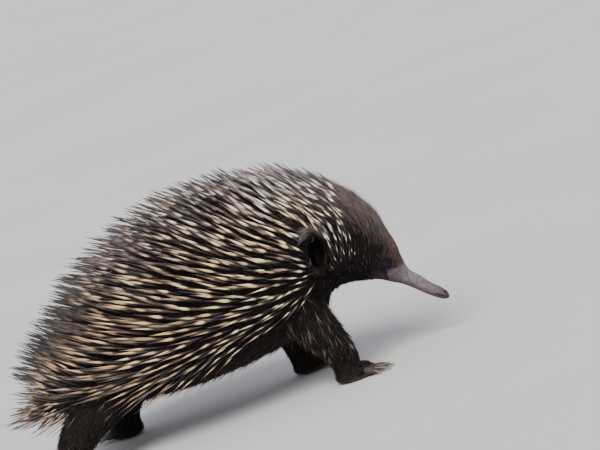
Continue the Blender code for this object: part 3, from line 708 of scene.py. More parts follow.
def round_leg(points, foot, hip):
    """How far round the line from foot to hip places are."""
    rise = np.clip(points[:, 2] / hip[2], 0, 1)[:, None]
    away = points - (foot * (1 - rise) + hip * rise)
    return np.arctan2(away[:, 1], away[:, 0])


def lay_flat(mesh, flat):
    layer = mesh.uv_layers.new(name="OFBake")
    layer.data.foreach_set("uv", flat.astype(np.float32).ravel())


def unwrap_skin(skin, points, u, angle):
    """Lays the skin's faces out flat, the body below and the legs in a row above it."""
    mesh = skin.data
    corner = read_all(mesh.loops, "vertex_index")
    starts = read_all(mesh.polygons, "loop_start")
    face = np.repeat(np.arange(len(starts)), read_all(mesh.polygons, "loop_total"))
    first = corner[starts][face]
    here, start = points[corner], points[first]
    flat = unwrap_place(u[corner], unwound(angle[corner], angle[first]))
    behind = (body(TAIL_STARTS, 0.0)[0] - here[:, 0]) / 0.03
    flat[:, 1] += 0.02 * np.clip(behind, 0, 1) * (u[corner] > TAIL_STARTS - 0.05)
    on_limb = read_all(mesh.polygons, "material_index")[face] > 0
    for number, name in enumerate(STANCE):
        foot, hip = paw_middle(name), leg_measures(name, np.array(1.0))[0]
        span = (hip - foot)[None]
        share = np.clip(dot(start - foot, span) / dot(span, span), 0, 1)
        mine = on_limb & (np.linalg.norm(start - foot - share * span, axis=1) < 0.06)
        mine &= (np.sign(start[:, :2]) == np.sign(foot[:2])).all(axis=1)
        wind = unwound(round_leg(here, foot, hip), round_leg(start, foot, hip)) / (2 * math.pi) + 0.5
        rise = np.clip(here[:, 2] / 0.11, 0, 1)
        laid = np.stack((0.03 + 0.245 * number + 0.19 * wind, 0.735 + 0.24 * rise), -1)
        flat = np.where(mine[:, None], laid, flat)
    lay_flat(mesh, flat)


def closest(points, frames, raised, squeeze):
    """How far places are from the nearer of two frames, with its ways squeezed."""
    offsets = [(in_frame(points, place) - raised) * squeeze for place in frames.values()]
    return np.min([np.linalg.norm(offset, axis=1) for offset in offsets], axis=0)


def mark_skin(skin, points, u, angle):
    """Marks where the skin is bare, furred, pale, dark, flushed or creased, and where shade is painted: under
    the beak, in the nostrils, the mouth's line and the folds, and in and round the ear openings.
    """
    degrees = from_ridge(angle)
    pale_ends = eased(PALE_ENDS, degrees)
    blur = np.interp(degrees, (80, 105), (1.0, 0.3))
    flushed = hill(u, pale_ends + 0.5, 0.45) * grows(degrees, 108, 14)
    along = directions(NOSTRIL[0], NOSTRIL[1])[0]
    pits = [points - body(NOSTRIL[0], side * NOSTRIL[1]) for side in SIDES.values()]
    pits = [np.linalg.norm(offset - along * dot(offset, along) * 0.5, axis=1) for offset in pits]
    # Painted shade in the nostrils and, below, along the mouth's line.
    recess_shade = np.exp(-((np.min(pits, axis=0) / (1.7 * MM)) ** 2))
    lips = np.abs(degrees - eased(MOUTH[::-1], u)) / 15
    recess_shade = np.maximum(recess_shade, 0.95 * np.exp(-(lips**2)) * fades(u, 1.8, 0.8))
    eye_near = closest(points, EYES, (0, 1.8 * MM, 0), (1, 1.15, 0.6))
    ear_hollow_shade = closest(points, EARS, (0, 0, 0), (1.2, 0.75, 0.5))
    for name, values in {
        "furred": fur_share(u, angle),
        "eye_near": np.exp(-((eye_near / (8.2 * MM)) ** 2)),
        "beak_share": 1 - smooth((u - pale_ends) / blur + 0.5),
        "tip_share": np.maximum(fades(u, 0.4, 4.6), 0.42 * grows(u, 4.2, 1.4)),
        "flushed": flushed * (1 - 0.5 * grows(degrees, 140, 20)),
        "low": 1 - smooth((points[:, 2] / MM - 6) / 6),
        # painted shade: marks the underside, where the beak is darkened
        "under": grows(degrees, 95, 60),
        # painted shade: nearly black in the nostrils and the mouth's line, and darker in the folds
        "recess_shade": np.maximum(recess_shade, np.clip(fold_depth(u, angle) * 1.15, 0, 0.8)),
        # painted shade: near black in and round each ear's opening
        "ear_hollow_shade": 1 - smooth((ear_hollow_shade / MM - 10) / 5),
    }.items():
        keep_point_value(skin, name, values)


# The coat


def fur_share(u, angle):
    return smooth((u - eased(FUR_EDGE, from_ridge(angle))) / 0.7 + 0.3)


def form(name, sides, profile):
    """A slender closed form one unit long, from a circle drawn out through widths."""
    bpy.ops.object.select_all(action="DESELECT")
    place, width = profile[0]
    bpy.ops.mesh.primitive_circle_add(vertices=sides, radius=width, fill_type="NGON", location=(0, 0, place))
    made = bpy.context.object
    made.name = name
    bpy.ops.object.mode_set(mode="EDIT")
    bpy.ops.mesh.select_mode(type="FACE")
    bpy.ops.mesh.select_all(action="SELECT")
    for (low, thick), (high, thin) in zip(profile, profile[1:]):
        bpy.ops.mesh.extrude_region_move(TRANSFORM_OT_translate={"value": (0, 0, high - low)})
        share = max(thin, 0.001) / thick
        bpy.ops.transform.resize(value=(share, share, 1))
    bpy.ops.mesh.merge(type="CENTER")
    bpy.ops.mesh.select_all(action="SELECT")
    bpy.ops.mesh.normals_make_consistent(inside=False)
    bpy.ops.object.mode_set(mode="OBJECT")
    bpy.ops.object.transform_apply(location=True, rotation=True, scale=True)
    points = coordinates(made)
    corner = read_all(made.data.loops, "vertex_index")
    start = read_all(made.data.polygons, "loop_start")
    wind = ((np.arctan2(points[:, 1], points[:, 0]) / (2 * math.pi)) % 1.0)[corner]
    for ring in np.split(wind, start[1:]):
        ring[ring < ring.max() - 0.5] += 1.0
    bpy.data.objects.remove(made)
    middle = np.hypot(points[:, 0], points[:, 1])
    side = np.abs(points[:, 0]) / np.maximum(middle, 1e-9) * (middle > 1e-6)
    around = np.stack((wind - 0.5, points[corner, 2] - 0.5), -1)
    return {"points": points, "corner": corner, "start": start, "around": around, "side": side}


WIDE_VALUES = {"root": 3, "way": 3, "out": 3, "unwrap": 2}


def copies(count, **values):
    """Places for copies of a form: root, way, out, length, width, rise, sway, flat, unwrap and
    any number of marks named is_. What is given once is repeated for each copy."""
    shapes = {name: (count, WIDE_VALUES[name]) if name in WIDE_VALUES else (count,) for name in values}
    return {name: np.array(np.broadcast_to(value, shapes[name])) for name, value in values.items()}


def strewn(name, shape, places, look, patch=(0.003, 0.003)):
    """One mesh with a copy of a slender form at each place."""
    points, corner = shape["points"], shape["corner"]
    n, m = len(places["root"]), len(points)
    x, y, t = points[:, :1], points[:, 1:2], np.clip(points[:, 2:], -1, 1)
    root, way, out = (places[key][:, None] for key in ("root", "way", "out"))
    length, width, rise, sway, flat = (
        places[key][:, None, None] for key in ("length", "width", "rise", "sway", "flat")
    )
    across = unit(np.cross(way, out))
    other = np.cross(across, way)
    laid = root + way * (length * t) + out * (rise * t**2)
    laid = laid + across * (sway * t**2 + width * x) + other * (width * flat * y)
    laid[..., 2] = np.maximum(laid[..., 2], 0.0)

    mesh = bpy.data.meshes.new(name)
    number = np.arange(n, dtype=np.int32)[:, None]
    mesh.vertices.add(n * m)
    mesh.vertices.foreach_set("co", laid.astype(np.float32).ravel())
    mesh.loops.add(n * len(corner))
    mesh.loops.foreach_set("vertex_index", (corner + number * m).astype(np.int32).ravel())
    mesh.polygons.add(n * len(shape["start"]))
    mesh.polygons.foreach_set("loop_start", (shape["start"] + number * len(corner)).astype(np.int32).ravel())
    mesh.update(calc_edges=True)
    made = bpy.data.objects.new(name, mesh)
    bpy.context.scene.collection.objects.link(made)
    keep_point_value(made, "along", np.tile(t[:, 0], n))
    keep_point_value(made, "side", np.tile(shape["side"], n))
    for value in places:
        if value.startswith("is_"):
            keep_point_value(made, value[3:], np.repeat(places[value], m))
    lay_flat(mesh, np.clip(places["unwrap"][:, None] + shape["around"] * patch, 0.0, 1.0))
    return settle_piece(made, look)


def picked(places, keep):
    return {name: values[keep] for name, values in places.items()}


def in_legs(points, room):
    """Whether points lie in a leg, or closer to one than room."""
    found = np.zeros(points.shape[:-1], bool)
    z = points[..., 2]
    for name in STANCE:
        middle, half_length, half_width = leg_measures(name, np.linspace(0, 5, 60))
        order = middle[:, 2].argsort()
        measures = (middle[:, 0], middle[:, 1], half_length + room, half_width + room)
        x, y, long, wide = (np.interp(z, middle[order, 2], values[order]) for values in measures)
        inside = ((points[..., 0] - x) / long) ** 2 + ((points[..., 1] - y) / wide) ** 2 < 1
        found |= inside & (z < middle[:, 2].max())
    return found


def over(points, frames, half_width, half_height, height):
    """Whether points hang over an oval round either of two frames, within a height."""
    found = np.zeros(points.shape[:-1], bool)
    for place in frames.values():
        x, y, z = np.moveaxis(in_frame(points, place), -1, 0)
        found |= (np.hypot(x / half_width, y / half_height) < 1) & (np.abs(z) < height)
    return found


def over_ear(points, height=12 * MM):
    return over(points, EARS, 1.05 * EAR_HALF_WIDTH, 1.05 * EAR_HALF_HEIGHT, height)


def over_eye(points, radius):
    return over(points, EYES, 1.15 * radius, radius, 12 * MM)


def runs(places, shares=(0.25, 0.5, 0.75, 1.0)):
    """Points along the middle line of each copy."""
    t = np.array(shares)[:, None]
    root, way, out = (places[key][:, None] for key in ("root", "way", "out"))
    length, rise = (places[key][:, None, None] for key in ("length", "rise"))
    return root + way * (length * t) + out * (rise * t**2)


def ruffle(ways, amount):
    return unit(ways + chance.normal(0, amount, ways.shape))


def hem_angle(u):
    """How far round from the ridge the spines reach at a station."""
    if u < HEAD_HEM_DEGREES[-1][0]:
        return math.radians(float(eased(HEAD_HEM_DEGREES, u)))
    angles = np.radians(np.arange(150, 0, -1.0))
    heights = body(np.full(len(angles), u), angles)[:, 2] - BODY_PLACE[2]
    high = np.flatnonzero(heights >= eased(HEM_HEIGHTS, u) * MM)
    return float(angles[high[0]]) if len(high) else math.radians(1)


def spine_sites(start, end, spacing):
    """Staggered places on the body between two stations."""
    spacing = spacing * MM
    fine = np.linspace(start, end, 200)
    walked = walk(body(fine, math.radians(30)))
    rows = max(1, round(walked[-1] / (spacing * ROW_SHARE)))
    found = []
    for row in range(rows):
        u = float(np.interp(walked[-1] * (row + 0.5) / rows, walked, fine))
        edge = hem_angle(u)
        angles = np.linspace(-edge, edge, 241)
        wound = walk(body(np.full(241, u), angles))
        count = max(2, round(wound[-1] / spacing))
        share = (np.arange(count) + 0.25 + 0.5 * (row % 2) + chance.uniform(-0.3, 0.3, count)) / count
        angle = np.interp(share * wound[-1], wound, angles)
        pace = np.interp(u, fine[1:], np.diff(fine) / np.maximum(np.diff(walked), 1e-9))
        shuffle = chance.uniform(-0.32, 0.32, count) * spacing * pace
        found.append(np.stack((u + shuffle, angle), -1))
    return np.concatenate(found)


def spine_places(start, end, spacing):
    """Spines between two stations: their size, and the place and tone of their pale band."""
    u, angle = spine_sites(start, end, spacing).T
    way, out = lie(u, angle)
    rump = grows(u, 14.5, 2.5)
    way = unit(way + chance.normal(0, 1, way.shape) * (0.055 - 0.018 * rump)[:, None])
    n = len(u)
    hem = np.array([hem_angle(float(x)) for x in u])
    near_hem = smooth((np.abs(angle) / hem - 0.7) / 0.3)
    degrees = from_ridge(angle)
    flank = grows(degrees, 25, 45)
    cheek = grows(degrees, 62, 25) * fades(u, 10.6, 1.0)
    crown = fades(u, 11.8, 1.4) * fades(degrees, 50, 25)
    length = eased(SPINE_LENGTHS, u) * MM * chance.uniform(0.88, 1.06, n) * (1 - 0.2 * near_hem)
    width = np.interp(length / MM, (12, 22, 34, 50), (0.85, 1.3, 1.6, 1.7)) * (1 + 0.02 * crown - 0.14 * rump)
    places = copies(
        n,
        root=body(u, angle, coat_depth(u, angle)),
        way=way,
        out=out,
        length=length + 2 * MM,
        width=width * MM * chance.uniform(0.74, 1.12, n) * (1 - 0.50 * near_hem) * (1 - 0.30 * cheek),
        rise=length * (chance.normal(-0.03, 0.03, n) - 0.025 * rump),
        sway=length * chance.normal(0.0, 0.02, n),
        flat=0.9,
        unwrap=unwrap_place(u, angle),
        is_shade=chance.uniform(0, 1, n),
        is_place=np.interp(u, (9.5, 12.6, 16.0, 19.0), (0.0, 0.25, 0.75, 1.0)),
        is_own=chance.uniform(0, 1, n),
        # How much painted sky sheen the spine gets: most on the crown, some on the back's top and the cheeks.
        is_high=np.maximum((1 - flank) * (0.30 + 0.70 * crown - 0.14 * rump), 0.35 * cheek),
    )
    places["is_band"] = band_start(places["is_place"], flank)
    reach = 0.80 + 0.54 * flank + 0.75 * crown + 0.2 * cheek - 0.24 * rump * (1 - 0.6 * near_hem)
    places["is_reach"] = reach * chance.uniform(0.62, 1.28, n)
    on_edge = fades(degrees, 8, 14) * fades(u, 11.0, 1.5)
    light = 0.10 * flank * (1 - rump) - 0.27 * (1 - flank) * (1 - crown) + 0.02 * crown - 0.24 * rump - 0.06
    places["is_shade"] = np.clip(places["is_shade"] + 0.65 * on_edge - light, 0, 1)
    line = runs(places, (0.3, 0.45, 0.6, 0.75, 0.9, 1.0))
    blocked = in_legs(line, 1.5 * MM) | over_ear(line, 24 * MM)
    blocked = blocked.any(axis=1) | over_ear(places["root"]) | (u < eased(SPINES_BEGIN, degrees))
    return picked(places, ~blocked)


def band_start(place, flank):
    """Where along each spine its cream band starts: further out on the rump's sides and the back's top."""
    out = (0.03 + 0.10 * place) * flank + 0.12 * (1 - flank) * grows(place, 0.15, 0.3)
    return np.clip(0.28 + out + chance.normal(0, 0.055, len(place)), 0.18, 0.6)


def tail_spine_places():
    """Spines that fan out round the stub of the tail."""
    rows = []
    for back, radius, count, spread in TAIL_SPINES:
        for k in range(count):
            turn = math.radians(-116 + 232 * k / (count - 1)) + chance.uniform(-0.09, 0.09)
            across, up = -math.sin(turn), math.cos(turn)
            out = unit(np.array((-0.25, across, up)))
            root = middle_of(TAIL_STARTS)
            root = root + np.array((-back, across * radius * 1.9, -back * 0.3 + up * radius * 0.8)) * MM
            way = unit(np.array((-1, 0, -0.05)) + out * spread * chance.uniform(0.8, 1.15))
            rows.append((root - out * 3 * MM, way, out))
    root, way, out = np.moveaxis(np.array(rows), 1, 0)
    n = len(rows)
    length = chance.uniform(32, 42, n) * MM
    return copies(
        n,
        root=root,
        way=ruffle(way, 0.05),
        out=out,
        length=length,
        width=chance.uniform(0.95, 1.3, n) * MM,
        rise=length * chance.normal(-0.02, 0.03, n),
        sway=length * chance.normal(0, 0.02, n),
        flat=0.9,
        unwrap=np.stack((chance.uniform(0.1, 0.9, n), np.full(n, 0.71)), -1),
        is_shade=chance.uniform(0.25, 1, n),
        is_place=1.0,
        is_own=chance.uniform(0, 1, n),
        is_band=np.clip(chance.normal(0.38, 0.10, n), 0.18, 0.6),
        is_reach=chance.uniform(0.5, 1.1, n),
        # A little painted sky sheen on the tail's spines.
        is_high=0.15,
    )


def together(*groups):
    return {name: np.concatenate([g[name] for g in groups]) for name in groups[0]}


def scattered(count, start, end, weight):
    """Random stations and angles, as many to the area as weight says."""
    n = count * 4
    u = chance.uniform(start, end, n)
    angle = chance.uniform(-math.pi, math.pi, n)
    step = 0.01
    along = body(u + step, angle) - body(u - step, angle)
    around = body(u, angle + step) - body(u, angle - step)
    share = np.linalg.norm(np.cross(along, around), axis=1) * weight(u, angle)
    keep = chance.choice(n, count, replace=False, p=share / share.sum())
    return u[keep], angle[keep]


def fur_places(u, angle, length, width, lift_share, mess, rise):
    """Tufts of fur on the body at given stations and angles."""
    n = len(u)
    way, out = lie(u, angle, lift_share)
    length = length * chance.uniform(0.75, 1.15, n)
    return copies(
        n,
        root=body(u, angle, coat_depth(u, angle) - 0.4 * MM),
        way=ruffle(way, mess),
        out=out,
        length=length,
        width=width * chance.uniform(0.75, 1.25, n),
        rise=length * chance.normal(rise, 0.06, n),
        sway=length * chance.normal(0, 0.08, n),
        flat=0.5,
        unwrap=unwrap_place(u, angle),
        is_shade=chance.uniform(0, 1, n),
        is_warm=warmth(u, angle),
    )


def off_ear(places, blocked=False, start=1):
    """Those tufts that neither grow in an ear's opening nor hang over it."""
    over_it = over_ear(places["root"]) | over_ear(runs(places)[:, start:]).any(axis=1)
    return picked(places, ~(over_it | blocked))


def warmth(u, angle):
    """How brown the fur is: rusty on the muzzle's front, grey-brown on the forehead, black behind; the
    forehead's brown is partly the fur's own colour and partly painted light on the top of the head.
    """
    degrees = from_ridge(angle)
    muzzle = fades(u, 6.3, 1.9) * (1 - 0.55 * grows(degrees, 60, 40))
    # Partly painted light: the fur over the top of the head is browner, so lighter, than down its sides.
    brow = fades(degrees, 22, 48) * (1 - 0.5 * grows(u, 10, 2))
    low = grows(degrees, 118, 35) * grows(u, 11, 2)
    return np.clip(0.75 * muzzle + 0.75 * brow + 0.3 * low, 0, 1)


# Lengths of the fur in millimetres, by station.
FACE_FUR = ((5.4, 2.6), (6.5, 4.6), (8.0, 7.5), (9.5, 9.5), (11.0, 11.5), (12.5, 13.0))
BODY_FUR = ((9.5, 8.0), (11.0, 11.0), (12.6, 15.0), (14.0, 18.0), (17.0, 19.0), (19.0, 16.0))


def face_fur(count):
    """Short fur of the face and the sides of the neck."""
    def weight(u, angle):
        low = smooth((from_ridge(angle) - 120) / 30)
        return fur_share(u, angle) * (1 - 0.3 * low) * fades(u, 11.0, 1.2) * (1 + 0.8 * (u < 8.5))

    u, angle = scattered(count, 5.2, 12.2, weight)
    degrees = from_ridge(angle)
    width = np.interp(u, (5.4, 8, 11), (0.22, 0.30, 0.38)) * MM
    places = fur_places(u, angle, eased(FACE_FUR, u) * MM, width, 0.75, 0.10, -0.12)
    # Painted shade: on the sides of the head, behind the muzzle, the fur is made less brown and so darker.
    places["is_warm"] -= 0.16 * grows(degrees, 55, 30) * grows(u, 7.4, 1.0)
    places["is_rust"] = fades(u, 6.4, 1.9) * (1 - 0.6 * grows(degrees, 70, 30))
    on_eye = over_eye(places["root"], 6.2 * MM) | over_eye(runs(places), 4.8 * MM).any(axis=1)
    return off_ear(places, on_eye)


def brow_strands(count):
    """Long fine strands that lie back over the forehead and crown, lighter than the fur."""
    def weight(u, angle):
        high = 1 - 0.93 * smooth((from_ridge(angle) - 42) / 34)
        return grows(u, 7.2, 1.2) * fades(u, 11.0, 1.2) * high

    u, angle = scattered(count, 7.0, 12.2, weight)
    lift = np.where(chance.uniform(0, 1, len(u)) < 0.35, 1.6, 0.7)
    places = fur_places(u, angle, np.interp(u, (7, 9, 12), (8, 14, 17)) * MM, 0.24 * MM, lift, 0.07, -0.08)
    degrees = from_ridge(angle)
    # The strands are paler over the top of the head than down its sides, partly painted light from above, and
    # a little darker right on the ridge.
    away = 0.3 * grows(degrees, 35, 40) + 0.22 * fades(degrees, 4, 16)
    places["is_warm"] = np.clip(chance.normal(1.12 - away, 0.16, len(u)), 0, 1.45)
    return off_ear(places, start=0)


def under_fur(count):
    """The dark fur that the spines stand in."""
    def weight(u, angle):
        degrees = from_ridge(angle)
        return grows(u, 9.6, 1.5) * (1 - 0.9 * grows(degrees, 128, 14))

    u, angle = scattered(count, 9.4, TAIL_STARTS, weight)
    places = fur_places(u, angle, eased(BODY_FUR, u) * MM, 0.5 * MM, 0.62, 0.13, -0.10)
    return off_ear(places, in_legs(places["root"], 0.0) & in_legs(runs(places)[:, -1], 0.0))


def belly_fur(count):
    """Thin bristly fur on the throat and belly."""
    def weight(u, angle):
        degrees = from_ridge(angle)
        return grows(u, 9.0, 1.5) * grows(degrees, 112, 16)

    u, angle = scattered(count, 8.8, TAIL_STARTS, weight)
    places = fur_places(u, angle, np.interp(u, (9, 12, 19), (6, 9, 11)) * MM, 0.4 * MM, 0.7, 0.14, -0.14)
    places["is_warm"] = np.clip(0.35 + chance.normal(0, 0.2, len(u)), 0, 1)
    places["is_shade"] = places["is_shade"] ** 0.8
    return picked(places, ~in_legs(places["root"], 0.0))


def leg_fur(count):
    """Coarse short fur that runs down the legs, with some pale bristles."""
    groups = []
    for number, name in enumerate(STANCE):
        upper, sweep, bristly = (15, -0.45, 0.045) if is_fore(name) else (12, -0.3, 0.015)
        at = 0.15 + 4.65 * chance.uniform(0, 1, count) ** 0.9
        turn = chance.uniform(0, 2 * math.pi, count)
        root = leg(name, at, turn, -LEG_ROOT_DEPTH)
        down = unit(leg(name, at + 0.05, turn, -LEG_ROOT_DEPTH) - root)
        round_it = leg(name, at, turn + 0.02) - leg(name, at, turn - 0.02)
        out = unit(np.cross(round_it, down))
        out *= np.where(dot(out, root - leg_measures(name, at)[0]) < 0, -1.0, 1.0)
        sweep = np.array((sweep, 0, 0)) - out * out[:, :1] * sweep
        lift = chance.uniform(0.16, 0.38, count)[:, None]
        length = np.interp(at, (0, 2, 4.0, 4.8), (upper, 9.5, 6.0, 3.6)) * MM
        length = length * chance.uniform(0.75, 1.2, count)
        bristle = chance.uniform(0, 1, count) < bristly * (at < 3)
        length = np.where(bristle, length * 1.6, length)
        groups.append(copies(
            count,
            root=root,
            way=ruffle(unit(down + sweep + out * lift), 0.12),
            out=out,
            length=length,
            width=np.where(bristle, 0.22, 0.36) * MM * chance.uniform(0.8, 1.2, count),
            rise=length * chance.normal(-0.14, 0.06, count),
            sway=length * chance.normal(0, 0.08, count),
            flat=0.5,
            unwrap=unwrap_leg(number, root[:, 2], turn),
            is_shade=chance.uniform(0, 1, count),
            is_warm=np.where(bristle, 1.6, np.clip(0.30 + chance.normal(0, 0.12, count), 0, 1)),
        ))
    return together(*groups)


def paw_fur(count):
    """Short fur on the tops and sides of the paws, out to the toes."""
    groups = []
    half = np.array((17.2, 14.4, 9.6))
    for number, name in enumerate(STANCE):
        turn = chance.uniform(0, 2 * math.pi, count)
        high = chance.uniform(-0.15, 0.97, count)
        level = np.sqrt(1 - high**2)
        local = np.stack((level * np.cos(turn), level * np.sin(turn), high), -1) * half * MM
        c, s = math.cos(foot_heading(name)), math.sin(foot_heading(name))
        spin = np.array(((c, s, 0), (-s, c, 0), (0, 0, 1)))
        root = paw_middle(name) + local @ spin
        out = unit(local / half**2) @ spin
        flow = spin[0] + np.array((0, 0, -0.5)) * (1 - np.cos(turn))[:, None]
        way = unit(flow - out * dot(out, flow) + out * 0.22)
        length = np.interp(np.cos(turn), (-1, 0.6, 1), (5.5, 5.0, 7.0)) * MM
        length = length * chance.uniform(0.75, 1.15, count)
        places = copies(
            count,
            root=root,
            way=ruffle(way, 0.12),
            out=out,
            length=length,
            width=chance.uniform(0.22, 0.36, count) * MM,
            rise=-0.16 * length,
            sway=0.0,
            flat=0.5,
            unwrap=unwrap_leg(number, root[:, 2], turn),
            is_shade=chance.uniform(0, 1, count),
            is_warm=np.clip(0.3 + chance.normal(0, 0.1, count), 0, 1),
        )
        groups.append(picked(places, ~(in_legs(root, -1.5 * MM) & (root[:, 2] > 13 * MM))))
    return together(*groups)


# The ear's hair: how many, from and to which turn in degrees, between which lengths in
# millimetres, and how pale.
EAR_HAIR = {
    "arch": (120, 5, 96, (14, 25), 1.10),
    "thread": (3, 60, 84, (9, 12), 1.2),
    "rim": (620, 0, 360, (3.5, 8), -0.2),
    "hang": (14, 190, 240, (7, 12), 1.3),
}


def ear_hair_way(kind, turn, ahead, rear):
    """The way of the ear's hair, in the ear's own frame."""
    across, up = ahead * np.cos(turn), np.sin(turn)
    if kind == "arch":
        flat = np.stack((-ahead * EAR_HALF_WIDTH * up, EAR_HALF_HEIGHT * np.cos(turn), 0 * up), -1)
        return unit(flat) + np.stack((0 * up, 0 * up, chance.uniform(0.10, 0.30, len(turn))), -1)
    if kind == "rim":
        return np.stack((across, up, np.ones(len(turn))), -1) * 0.5 + rear * 0.8
    return rear + (0, -0.12, 0.30) if kind == "thread" else rear * 0.1 + (0, -1.0, 0.30)


def ear_fringe():
    """Hair about the ears: pale strands that arch back over the top, short dark hair round
    the rim, and a few thin pale hairs that hang from its lower back edge."""
    groups = []
    for name, (place, ways) in EARS.items():
        angle = SIDES[name] * EAR_ANGLE
        back = directions(EAR_STATION, angle)[0]
        back = unit(back - ways[2] * (back @ ways[2]))
        rear = np.array((back @ ways[0], back @ ways[1], 0.0))
        ahead = -1 if rear[0] > 0 else 1
        for kind, (count, start, end, lengths, pale) in EAR_HAIR.items():
            is_arch = kind == "arch"
            turn = np.radians(chance.uniform(start, end, count))
            size = chance.uniform(*((1.22, 1.75) if is_arch else (1.06, 1.35)), count)
            x, y = size * EAR_HALF_WIDTH * ahead * np.cos(turn), size * EAR_HALF_HEIGHT * np.sin(turn)
            ring = np.stack((x, y, np.full(count, -0.8 * MM)), -1)
            flat = np.broadcast_to(ear_hair_way(kind, turn, ahead, rear), (count, 3))
            length = chance.uniform(*lengths, count) * MM
            way = ruffle(unit(flat @ ways), 0.05 if is_arch else 0.10)
            inward = np.sign(dot(unit(np.cross(way, ways[2])), -(ring @ ways)))[:, 0]
            curl = inward * length**2 / (44 * MM) * is_arch
            groups.append(copies(
                count,
                root=place + ring @ ways,
                way=way,
                out=ways[2],
                length=length,
                width=chance.uniform(0.17, 0.26, count) * MM,
                rise=-0.20 * length,
                sway=curl + length * chance.normal(0.0, 0.05, count),
                flat=0.6,
                unwrap=unwrap_place(EAR_STATION, angle),
                is_shade=chance.uniform(0, 1, count),
                is_warm=np.clip(chance.normal(pale, 0.24, count), 0, 1.6),
            ))
    return together(*groups)


# Eyes and claws


def make_eye(side, look):
    place, ways = EYES[side]
    middle = place - ways[2] * EYE_DEPTH
    bpy.ops.object.select_all(action="DESELECT")
    bpy.ops.mesh.primitive_uv_sphere_add(segments=40, ring_count=24, radius=EYE_RADIUS, location=middle)
    made = bpy.context.object
    made.name = "eyeball_" + side
    bpy.ops.object.transform_apply(location=True, rotation=True, scale=True)
    points = coordinates(made) - middle
    facing = np.clip((points @ ways[2]) / EYE_RADIUS, 0, 1)
    bulge = grows(facing, 0.86, 0.14) * 0.3 * MM
    set_coordinates(made, points * (1 + bulge / EYE_RADIUS)[:, None] + middle)
    keep_point_value(made, "facing", facing)
    unwrap_ball(made, points / EYE_RADIUS)
    settle_piece(made, look)
    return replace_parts(made, "eye_" + side)


def unwrap_ball(made, rays):
    mesh = made.data
    spread = rays[read_all(mesh.loops, "vertex_index")]
    for layer in list(mesh.uv_layers):
        mesh.uv_layers.remove(layer)
    across = 0.25 + 0.2 * spread[:, 0] + 0.5 * (spread[:, 1] > 0)
    lay_flat(mesh, np.stack((across, 0.5 + 0.4 * spread[:, 2]), -1))


def make_claws(name, shape, look):
    """The five claws of a foot, from the middles of its toes."""
    middles, ways, length, width = (np.array(values) for values in zip(*toes(name)))
    root = middles + ways * 3.2 * MM
    root[:, 2] = 5.2 * MM
    length = length + 1.3 * MM
    places = copies(
        len(root),
        root=root,
        way=unit(ways + (0, 0, 0.10)),
        out=(0, 0, 1),
        length=length,
        width=width / 2,
        rise=1.0 * MM - root[:, 2] - length * 0.10,
        sway=0.0,
        flat=0.72,
        unwrap=np.stack((0.1 + 0.2 * np.arange(len(root)), np.full(len(root), 0.5)), -1),
        is_shade=chance.uniform(0, 1, len(root)),
    )
    return strewn("claws_" + name.replace("leg", "foot"), shape, places, look, patch=(0.15, 0.8))


# The finishes


def new_group(name, inputs, outputs):
    """A shader node group, with its inputs' and outputs' names and kinds."""
    group = bpy.data.node_groups.new(name, "ShaderNodeTree")
    for way, sockets in (("INPUT", inputs), ("OUTPUT", outputs)):
        for label, kind in sockets.items():
            group.interface.new_socket(label, in_out=way, socket_type="NodeSocket" + kind)
    return group, group.nodes.new("NodeGroupInput").outputs, group.nodes.new("NodeGroupOutput").inputs


def rgba(colour):
    """A colour with its alpha. One number stands for a grey."""
    return (*colour, 1) if isinstance(colour, tuple) else (colour, colour, colour, 1)


def give(tree, node, key, value):
    """Links an input to a socket, or sets its value."""
    if isinstance(value, bpy.types.NodeSocket):
        tree.links.new(value, node.inputs[key])
    else:
        node.inputs[key].default_value = value


def add(tree, kind, inputs=None, **settings):
    """A node with its settings, and its inputs linked or given values."""
    node = tree.nodes.new(kind)
    for name, value in settings.items():
        setattr(node, name, value)
    for key, value in (inputs or {}).items():
        give(tree, node, key, value)
    return node


def ramp(tree, factor, *stops):
    node = add(tree, "ShaderNodeValToRGB", {"Fac": factor})
    elements = node.color_ramp.elements
    elements.remove(elements[-1])
    elements[0].position, elements[0].color = stops[0][0], rgba(stops[0][1])
    for place, colour in stops[1:]:
        elements.new(place).color = rgba(colour)
    return node.outputs["Color"]


def blend(tree, factor, first, second, mode="MIX"):
    colours = [c if isinstance(c, bpy.types.NodeSocket) else rgba(c) for c in (first, second)]
    inputs = {0: factor, 6: colours[0], 7: colours[1]}
    return add(tree, "ShaderNodeMix", inputs, data_type="RGBA", blend_type=mode).outputs[2]


def worked(tree, operation, *values, clamp=False):
    """The outcome of a sum on values."""
    inputs = dict(enumerate(values))
    return add(tree, "ShaderNodeMath", inputs, operation=operation, use_clamp=clamp).outputs[0]


def times(tree, first, second, clamp=False):
    return worked(tree, "MULTIPLY", first, second, clamp=clamp)


def attribute(tree, name):
    return add(tree, "ShaderNodeAttribute", attribute_name=name).outputs["Fac"]


def here(tree):
    return add(tree, "ShaderNodeTexCoord").outputs["Object"]


def noise(tree, vector, scale, detail=2.0):
    inputs = {"Vector": vector, "Scale": scale, "Detail": detail}
    return add(tree, "ShaderNodeTexNoise", inputs).outputs["Fac"]


def ranged(tree, value, low, high, start, end):
    """A value's range from low to high, moved to one from start to end."""
    inputs = {"Value": value, "From Min": low, "From Max": high, "To Min": start, "To Max": end}
    return add(tree, "ShaderNodeMapRange", inputs).outputs[0]


def mottle_group():
    """Soft patches, fine grain and fine creases, as masks."""
    inputs = {"Vector": "Vector", "Patch Scale": "Float", "Grain Scale": "Float"}
    outputs = dict.fromkeys(("Patches", "Grain", "Creases"), "Float")
    group, given, put = new_group("mottle", inputs, outputs)
    vector, patch_scale, grain_scale = (given[name] for name in inputs)
    grain = add(group, "ShaderNodeTexVoronoi", {"Vector": vector, "Scale": grain_scale})
    group.links.new(noise(group, vector, patch_scale, 3.0), put["Patches"])
    group.links.new(grain.outputs["Distance"], put["Grain"])
    group.links.new(noise(group, vector, grain_scale, 4.0), put["Creases"])
    return group


